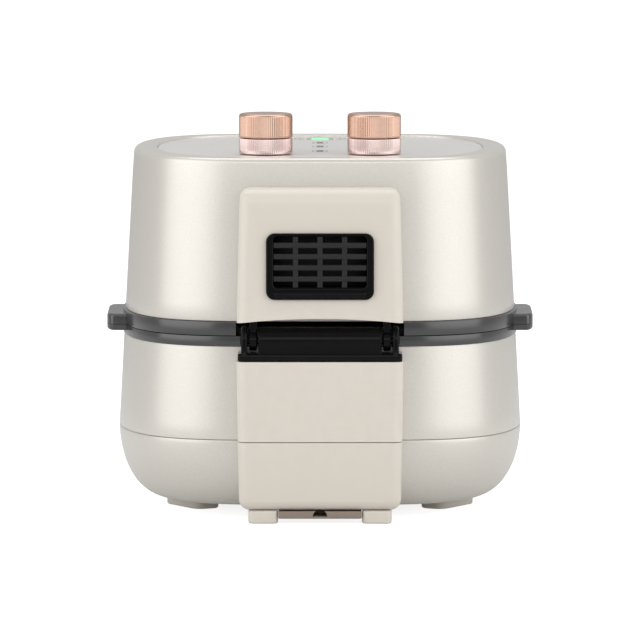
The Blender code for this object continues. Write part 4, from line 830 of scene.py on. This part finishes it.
def make_vent():
    lower, upper = low("vent_bezel"), high("vent_bezel")
    face = low("rear_housing_upper").y - GAP
    hole_low, hole_high = low("vent_grille"), high("vent_grille")
    half = hole_high.x + GAP
    opening = rounded_outline(2.0 * half, hole_high.z - hole_low.z + 2.0 * GAP, 3.0 * MM,
                              (0.0, (hole_low.z + hole_high.z) / 2.0), 6)
    outer = rounded_outline(upper.x - lower.x, upper.z - lower.z, 7.0 * MM, (0.0, (lower.z + upper.z) / 2.0))
    bezel = slab("vent_frame", [outer, opening], face - 3.0 * MM, face, "Y", edge=1.4 * MM, steps=5)
    lip_z = lower.z + 4.2 * MM
    lip = arc((face - 1.5 * MM, lip_z), (2.9 * MM, 3.0 * MM), 90.0, 270.0, 20)
    lip += [(face - 0.2 * MM, lip_z - 3.0 * MM), (face - 0.2 * MM, lip_z + 3.0 * MM)]
    lip = slab("vent_sill", [list(lip)], -37.0 * MM, 37.0 * MM, "X", edge=1.2 * MM)
    bezel = combine(bezel, lip, operation="UNION")
    dress(bezel, "black", "lid", "vent_bezel")

    tree = slat_tree()
    rows, columns = 4, 3
    width, height = hole_high.x - hole_low.x, hole_high.z - hole_low.z
    bar = 4.4 * MM
    row_pitch, column_pitch = (height + bar) / (rows + 1), (width + bar) / (columns + 1)
    deep = hole_high.y - hole_low.y
    slats = from_tree(
        "vent_slats", tree, Count=rows, Pitch=(0.0, 0.0, row_pitch),
        Start=(hole_low.x, (hole_low.y + hole_high.y) / 2.0, hole_low.z + row_pitch - bar / 2.0),
        Run=(width, 0.0, 0.0), Thick=deep * 0.96, Deep=bar, Rounding=0.9 * MM,
        Material=MATERIALS["grille"])
    turn_to_fit(slats, hole_low, hole_high)
    bars = from_tree(
        "vent_posts", tree, Count=columns, Pitch=(column_pitch, 0.0, 0.0),
        Start=(hole_low.x + column_pitch - bar / 2.0, (hole_low.y + hole_high.y) / 2.0 + 0.2 * MM,
               hole_low.z),
        Run=(0.0, 0.0, height), Thick=bar * 0.97, Deep=deep * 0.8, Rounding=0.8 * MM,
        Material=MATERIALS["grille"])
    turn_to_fit(bars, hole_low, hole_high)
    dress(slats, "grille", "lid", "vent_grille")
    dress(bars, "grille", "lid", "vent_grille")
    # Dark sheet behind the grille: painted shade inside the vent openings
    shadow = block("duct_dark_lining", (hole_low.x, hole_high.y + 14.0 * MM, hole_low.z),
                   (hole_high.x, hole_high.y + 15.0 * MM, hole_high.z), 0.3 * MM, 2)
    dress(shadow, "pin_steel", "lid")


def turn_to_fit(obj, lower, upper):
    """Hold a swept piece inside a box, whatever way its section came out."""
    for vert in obj.data.vertices:
        vert.co.y = min(max(vert.co.y, lower.y), upper.y)


# ---------------------------------------------------------------- top panel and knobs

def knurl_tree():
    """Fine upright ribs: pulls a turned surface in between ribs, within a band of heights."""
    tree, given, out = new_geometry_tree("knob_ribs", (
        ("Geometry", "Geometry"), ("Ribs", "Float"), ("Depth", "Float"), ("Band Low", "Float"),
        ("Band High", "Float"), ("Fade", "Float"), ("Skin Radius", "Float"), ("Material", "Material")))
    join = tree.links.new

    def math_node(operation, first, second=None):
        node = tree.nodes.new("ShaderNodeMath")
        node.operation = operation
        for socket, value in zip(node.inputs, (first, second)):
            if isinstance(value, (int, float)):
                socket.default_value = value
            elif value is not None:
                join(value, socket)
        return node.outputs["Value"]

    def step_node(value, start, end):
        node = tree.nodes.new("ShaderNodeMapRange")
        node.interpolation_type = "SMOOTHSTEP"
        join(value, node.inputs["Value"])
        join(start, node.inputs["From Min"])
        join(end, node.inputs["From Max"])
        return node.outputs["Result"]

    place = tree.nodes.new("GeometryNodeInputPosition")
    parts = tree.nodes.new("ShaderNodeSeparateXYZ")
    join(place.outputs["Position"], parts.inputs["Vector"])
    x, y, z = (parts.outputs[axis] for axis in "XYZ")
    angle = math_node("ARCTAN2", y, x)
    wave = math_node("COSINE", math_node("MULTIPLY", angle, given.outputs["Ribs"]))
    hollow = math_node("POWER", math_node("ADD", math_node("MULTIPLY", wave, 0.5), 0.5), 1.6)
    rise = step_node(z, given.outputs["Band Low"],
                     math_node("ADD", given.outputs["Band Low"], given.outputs["Fade"]))
    fall = step_node(z, math_node("SUBTRACT", given.outputs["Band High"], given.outputs["Fade"]),
                     given.outputs["Band High"])
    band = math_node("MULTIPLY", rise, math_node("SUBTRACT", 1.0, fall))
    radius = math_node("SQRT", math_node("ADD", math_node("MULTIPLY", x, x), math_node("MULTIPLY", y, y)))
    skin = math_node("GREATER_THAN", radius, given.outputs["Skin Radius"])
    amount = math_node("MULTIPLY", math_node("MULTIPLY", hollow, band),
                       math_node("MULTIPLY", given.outputs["Depth"], skin))
    inward = math_node("DIVIDE", amount, math_node("MULTIPLY", radius, -1.0))
    shift = tree.nodes.new("ShaderNodeCombineXYZ")
    join(math_node("MULTIPLY", x, inward), shift.inputs["X"])
    join(math_node("MULTIPLY", y, inward), shift.inputs["Y"])
    move = tree.nodes.new("GeometryNodeSetPosition")
    join(given.outputs["Geometry"], move.inputs["Geometry"])
    join(shift.outputs["Vector"], move.inputs["Offset"])
    return finish_tree(tree, given, out, move, "Geometry")


def knob_part(tree, node, body, material, profile, ribs, depth, band):
    """A turned knob piece with ribs round its side, standing where its CAD node stands."""
    lower, upper = low(node), high(node)
    centre = centre_of(node)
    plain = turned(f"{node}_turned", profile, closed=False, sides=int(ribs) * 6)
    mesh = plain.data
    bpy.data.objects.remove(plain, do_unlink=True)
    radius = (upper.x - lower.x) / 2.0
    piece = from_tree(
        f"{node}_ribbed", tree, mesh, Vector((centre.x, centre.y, 0.0)), Ribs=float(ribs), Depth=depth,
        Band_Low=band[0], Band_High=band[1], Fade=0.7 * MM, Skin_Radius=radius - 0.6 * MM,
        Material=MATERIALS[material])
    dress(piece, material, body, node, sharp=60.0)


def make_knobs():
    tree = knurl_tree()
    for label in ("temperature", "timer"):
        body = f"{label}_knob"
        node = f"{label}_knob_cap"
        lower, upper = low(node), high(node)
        radius = (upper.x - lower.x) / 2.0
        fillet = 2.4 * MM
        bottom, top = lower.z, upper.z
        profile = [(0.0, top - 0.5 * MM), (radius * 0.5, top - 0.4 * MM),
                   (radius - fillet - 1.6 * MM, top - 0.1 * MM), (radius - fillet - 0.6 * MM, top)]
        profile += list(reversed(arc((radius - fillet, top - fillet), (fillet, fillet), 0.0, 84.0, 9)))
        rings = 14
        profile += [(radius, top - fillet - (top - fillet - bottom - 0.3 * MM) * step / rings)
                    for step in range(1, rings + 1)]
        profile += [(radius - 0.3 * MM, bottom), (radius - 2.5 * MM, bottom),
                    (radius - 2.5 * MM, bottom + 1.5 * MM), (0.0, bottom + 1.5 * MM)]
        knob_part(tree, node, body, "rose", profile, 80, 0.36 * MM, (bottom - 0.5 * MM, top - 1.6 * MM))

        node = f"{label}_knob_collar"
        lower, upper = low(node), high(node)
        bottom, top = lower.z, upper.z
        edge = 0.5 * MM
        profile = [(0.0, top), (radius - edge - 2.0 * MM, top)]
        profile += list(reversed(arc((radius - edge, top - edge), (edge, edge), 0.0, 90.0, 5)))
        rings = 8
        profile += [(radius, top - edge - (top - bottom - 2.0 * edge) * step / rings)
                    for step in range(1, rings + 1)]
        profile += list(reversed(arc((radius - edge, bottom + edge), (edge, edge), -90.0, -10.0, 5)))
        profile += [(0.0, bottom)]
        knob_part(tree, node, body, "rose_pale", profile, 80, 0.42 * MM,
                  (bottom + 1.6 * MM, top + 0.5 * MM))


def make_panel():
    lower, upper = low("lid_top_panel"), high("lid_top_panel")
    edge = 0.5 * MM
    profile = [(upper.x - 1.0 * MM, lower.z), (upper.x, lower.z + edge)]
    profile += arc((upper.x - edge, upper.z - edge), (edge, edge), 0.0, 90.0, 4)
    panel = plan_loft("top_panel_painted", profile, closed=False)
    holes = []
    for label in ("temperature", "timer"):
        centre = centre_of(f"{label}_spindle")
        holes.append(rod(f"hole_{label}", 5.0 * MM, (centre.x, centre.y, lower.z - 1.0 * MM),
                         (centre.x, centre.y, upper.z + 1.0 * MM)))
    lens_low, lens_high = low("display_lens"), high("display_lens")
    middle = centre_of("display_lens")
    size = lens_high - lens_low
    opening = slab("opening", [rounded_outline(size.x + 0.6 * MM, size.y + 0.6 * MM, 4.3 * MM, middle[:2])],
                   lower.z - 1.0 * MM, upper.z + 1.0 * MM, edge=0.05 * MM, steps=0)
    panel = combine(panel, opening, *holes)
    dress(panel, "panel", "lid", "lid_top_panel", sharp=25.0)

    outer = rounded_outline(size.x, size.y, 4.0 * MM, middle[:2])
    inner = rounded_outline(size.x - 6.0 * MM, size.y - 3.0 * MM, 3.0 * MM, middle[:2])
    rim = slab("display_surround", [outer, inner], lens_low.z, upper.z, edge=0.3 * MM)
    dress(rim, "print", "lid", "display_lens")
    glow = slab("display_glow", [rounded_outline(size.x - 6.4 * MM, size.y - 3.4 * MM, 2.8 * MM, middle[:2])],
                lens_low.z, upper.z - 0.1 * MM, edge=0.3 * MM)
    dress(glow, "lens", "lid", "display_lens")

    thick = 0.12 * MM
    for side in (-1, 1):
        for number, reach in enumerate((17.0 * MM, 21.0 * MM)):
            outer = arc(middle[:2], (reach + 0.7 * MM, reach + 3.0 * MM), -38.0, 38.0, 16)
            inner = arc(middle[:2], (reach - 0.7 * MM, reach + 1.0 * MM), 38.0, -38.0, 16)
            outline = [(middle.x + side * (u - middle.x), v) for u, v in outer + inner]
            mark = slab(f"display_arc_{number}_{'left' if side < 0 else 'right'}", [outline], upper.z,
                        upper.z + thick, edge=0.03 * MM, steps=1)
            dress(mark, "print", "lid")

    marks = {"timer_mark": 50.0 * MM, "heat_mark": 6.0 * MM, "fan_mark": -46.0 * MM}
    for name, y in marks.items():
        ring = [rounded_outline(13.0 * MM, 22.0 * MM, 6.4 * MM, (0.0, y), 10),
                rounded_outline(10.8 * MM, 19.0 * MM, 5.3 * MM, (0.0, y), 10)]
        dress(slab(name, ring, upper.z, upper.z + thick, edge=0.03 * MM, steps=1), "print", "lid")
        for row in (-1, 0, 1):
            bar = rounded_outline(5.6 * MM, 2.0 * MM, 0.9 * MM, (0.0, y + row * 5.0 * MM), 4)
            dress(slab(f"{name}_bar_{row + 2}", [bar], upper.z, upper.z + thick, edge=0.03 * MM, steps=1),
                  "dark_trim", "lid")


# ---------------------------------------------------------------- underside

def make_underside():
    feet = (("rear", 0.0, 17.0 * MM, 5.0 * MM), ("middle", -30.0, 56.0 * MM, 9.0 * MM),
            ("front", 34.0, 56.0 * MM, 9.0 * MM))
    for side, label in ((-1, "left"), (1, "right")):
        for place, turn, length, corner in feet:
            node = f"{place}_foot_{label}"
            turn = Matrix.Rotation(math.radians(side * turn), 2)
            outline = [turn @ Vector(point) + centre_of(node).xy
                       for point in rounded_outline(24.0 * MM, length, corner)]
            foot = slab(f"{node}_moulding", [outline], low(node).z, high(node).z, edge=1.8 * MM, steps=4)
            dress(foot, "cream", "base", node)

    lower, upper = low("base_plate"), high("base_plate")
    half = 84.0 * MM
    edge = 0.8 * MM
    plate = plan_loft("base_cover", [(half - edge, lower.z), (half, lower.z + edge), (half, upper.z)],
                      closed=False, facets=96)
    tongue_half = 33.5 * MM
    tongue = slab("tongue", [rounded_outline(2.0 * tongue_half, -half / 2.0 - lower.y, 2.0 * MM,
                                             (0.0, (lower.y - half / 2.0) / 2.0))],
                  lower.z, upper.z, edge=0.8 * MM)
    plate = combine(plate, tongue, operation="UNION")
    holes = []
    for number in range(1, 5):
        centre = centre_of(f"base_screw_{number}")
        holes.append(rod(f"hole_{number}", 1.8 * MM, (centre.x, centre.y, 0.0), (centre.x, centre.y, 0.03)))
    plate = combine(plate, cord_passage("passage"), *holes)
    dress(plate, "taupe", "base", "base_plate")


def make_lid_handle():
    lower, upper = low("lid_handle"), high("lid_handle")
    half = high("lid_handle").x
    corner = 15.0 * MM
    start = RING_HALF - DEPTH_CUT - 14.0 * MM
    outline = [(half, start)]
    outline += arc((half - corner, upper.y - corner), (corner, corner), 0.0, 90.0, 10)
    outline += [(-u, v) for u, v in reversed(outline)]
    handle = slab("lid_handle_moulding", [outline], lower.z, upper.z, edge=3.0 * MM, steps=5)
    seat = body_volume("seat", [(RING_HALF + GAP, lower.z - 5.0 * MM), (RING_HALF + GAP, upper.z + 5.0 * MM)])
    pocket = block("pocket", (-half + 8.0 * MM, RING_HALF - DEPTH_CUT + 4.0 * MM, lower.z - 8.0 * MM),
                   (half - 8.0 * MM, upper.y - 5.0 * MM, upper.z - 5.0 * MM), 2.5 * MM)
    handle = combine(handle, seat, pocket)
    dress(handle, "charcoal", "lid", "lid_handle")


# ---------------------------------------------------------------- carried-over pieces

def dress_frame_nodes():
    """Give the CAD pieces that stay their finishes."""
    finishes = {
        # near-black: painted shade on the hinge pin and on the exhaust duct behind the grille
        "pin_steel": ("hinge_pin", "exhaust_duct"),
        "steel": ("lid_spring", "body_liner", "lid_heat_shield", "element_guard",
                  "fan_motor", "motor_bracket", "motor_shaft", "convection_fan", "temperature_spindle",
                  "timer_spindle", "base_screw_1", "base_screw_2", "base_screw_3", "base_screw_4"),
        "element": ("heating_element",),
        "black": ("terminal_block", "safety_switch", "temperature_control", "timer_control", "cooling_fan"),
        "nonstick": ("inner_pot", "crisper_tray"),
        "silicone": ("lid_gasket",),
        "circuit": ("control_board",),
    }
    for finish, nodes in finishes.items():
        for node in nodes:
            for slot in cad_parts[node].material_slots:
                slot.material = MATERIALS[finish]


# ---------------------------------------------------------------- studio

def area_light(name, place, target, size, power, spread=180.0):
    data = bpy.data.lights.new(name, "AREA")
    data.shape = "RECTANGLE"
    data.size, data.size_y = size
    data.energy = power
    data.spread = math.radians(spread)
    light = link(bpy.data.objects.new(name, data))
    light.location = place
    light.rotation_euler = (Vector(target) - Vector(place)).to_track_quat("-Z", "Y").to_euler()
    return light


def make_studio():
    scene = bpy.context.scene
    scene.view_settings.view_transform = "Standard"

    floor = block("studio_floor", (-60.0, -60.0, -0.02), (60.0, 60.0, 0.0))
    white = Finish("studio_white", (0.62, 0.62, 0.62), 0.9)
    white.dull(0.0)
    seen = add_node(white.tree, "ShaderNodeLightPath")
    glow = add_node(white.tree, "ShaderNodeMapRange", To_Min=0.12, To_Max=0.84)
    wire(white.tree, (seen, "Is Camera Ray", glow, "Value"))
    white.shader.inputs["Emission Color"].default_value = (1.0, 1.0, 1.0, 1.0)
    white.feed(glow.outputs["Result"], "Emission Strength")
    floor.data.materials.append(white.material)

    world = bpy.data.worlds.new("studio_air")
    scene.world = world
    world.use_nodes = True
    tree = world.node_tree
    air = tree.nodes["Background"]
    seen = add_node(tree, "ShaderNodeLightPath")
    strength = add_node(tree, "ShaderNodeMapRange", To_Min=0.50, To_Max=1.0)
    wire(tree, (seen, "Is Camera Ray", strength, "Value"), (strength, "Result", air, "Strength"))
    air.inputs["Color"].default_value = (1.0, 1.0, 1.0, 1.0)

    middle = (0.0, 0.0, 0.16)
    for side, label in ((-1.0, "left"), (1.0, "right")):
        area_light(f"{label}_softbox", (side * 1.42, -0.72, 0.70), middle, (2.5, 1.9), 13.4, 140.0)
    area_light("back_fill", (0.0, -2.6, 1.3), middle, (1.6, 0.8), 7.0)
    area_light("top_softbox", (0.0, 0.5, 1.8), middle, (1.8, 1.2), 11.0)

    data = bpy.data.cameras.new("camera")
    camera = link(bpy.data.objects.new("camera", data))
    elevation = math.radians(5.1)
    distance = 7.7
    target = Vector((0.0, 0.0, 0.149))
    camera.location = target + distance * Vector((0.0, -math.cos(elevation), math.sin(elevation)))
    camera.rotation_euler = (target - camera.location).to_track_quat("-Z", "Y").to_euler()
    data.lens = 528.0
    data.sensor_width = 36.0
    data.clip_end = 100.0
    bpy.context.scene.camera = camera


for make in (make_studio, make_lid_shell, make_body_shells, make_rings, make_rear_box, make_hinge, make_vent,
             make_panel, make_knobs, make_lid_handle, make_underside, dress_frame_nodes):
    make()
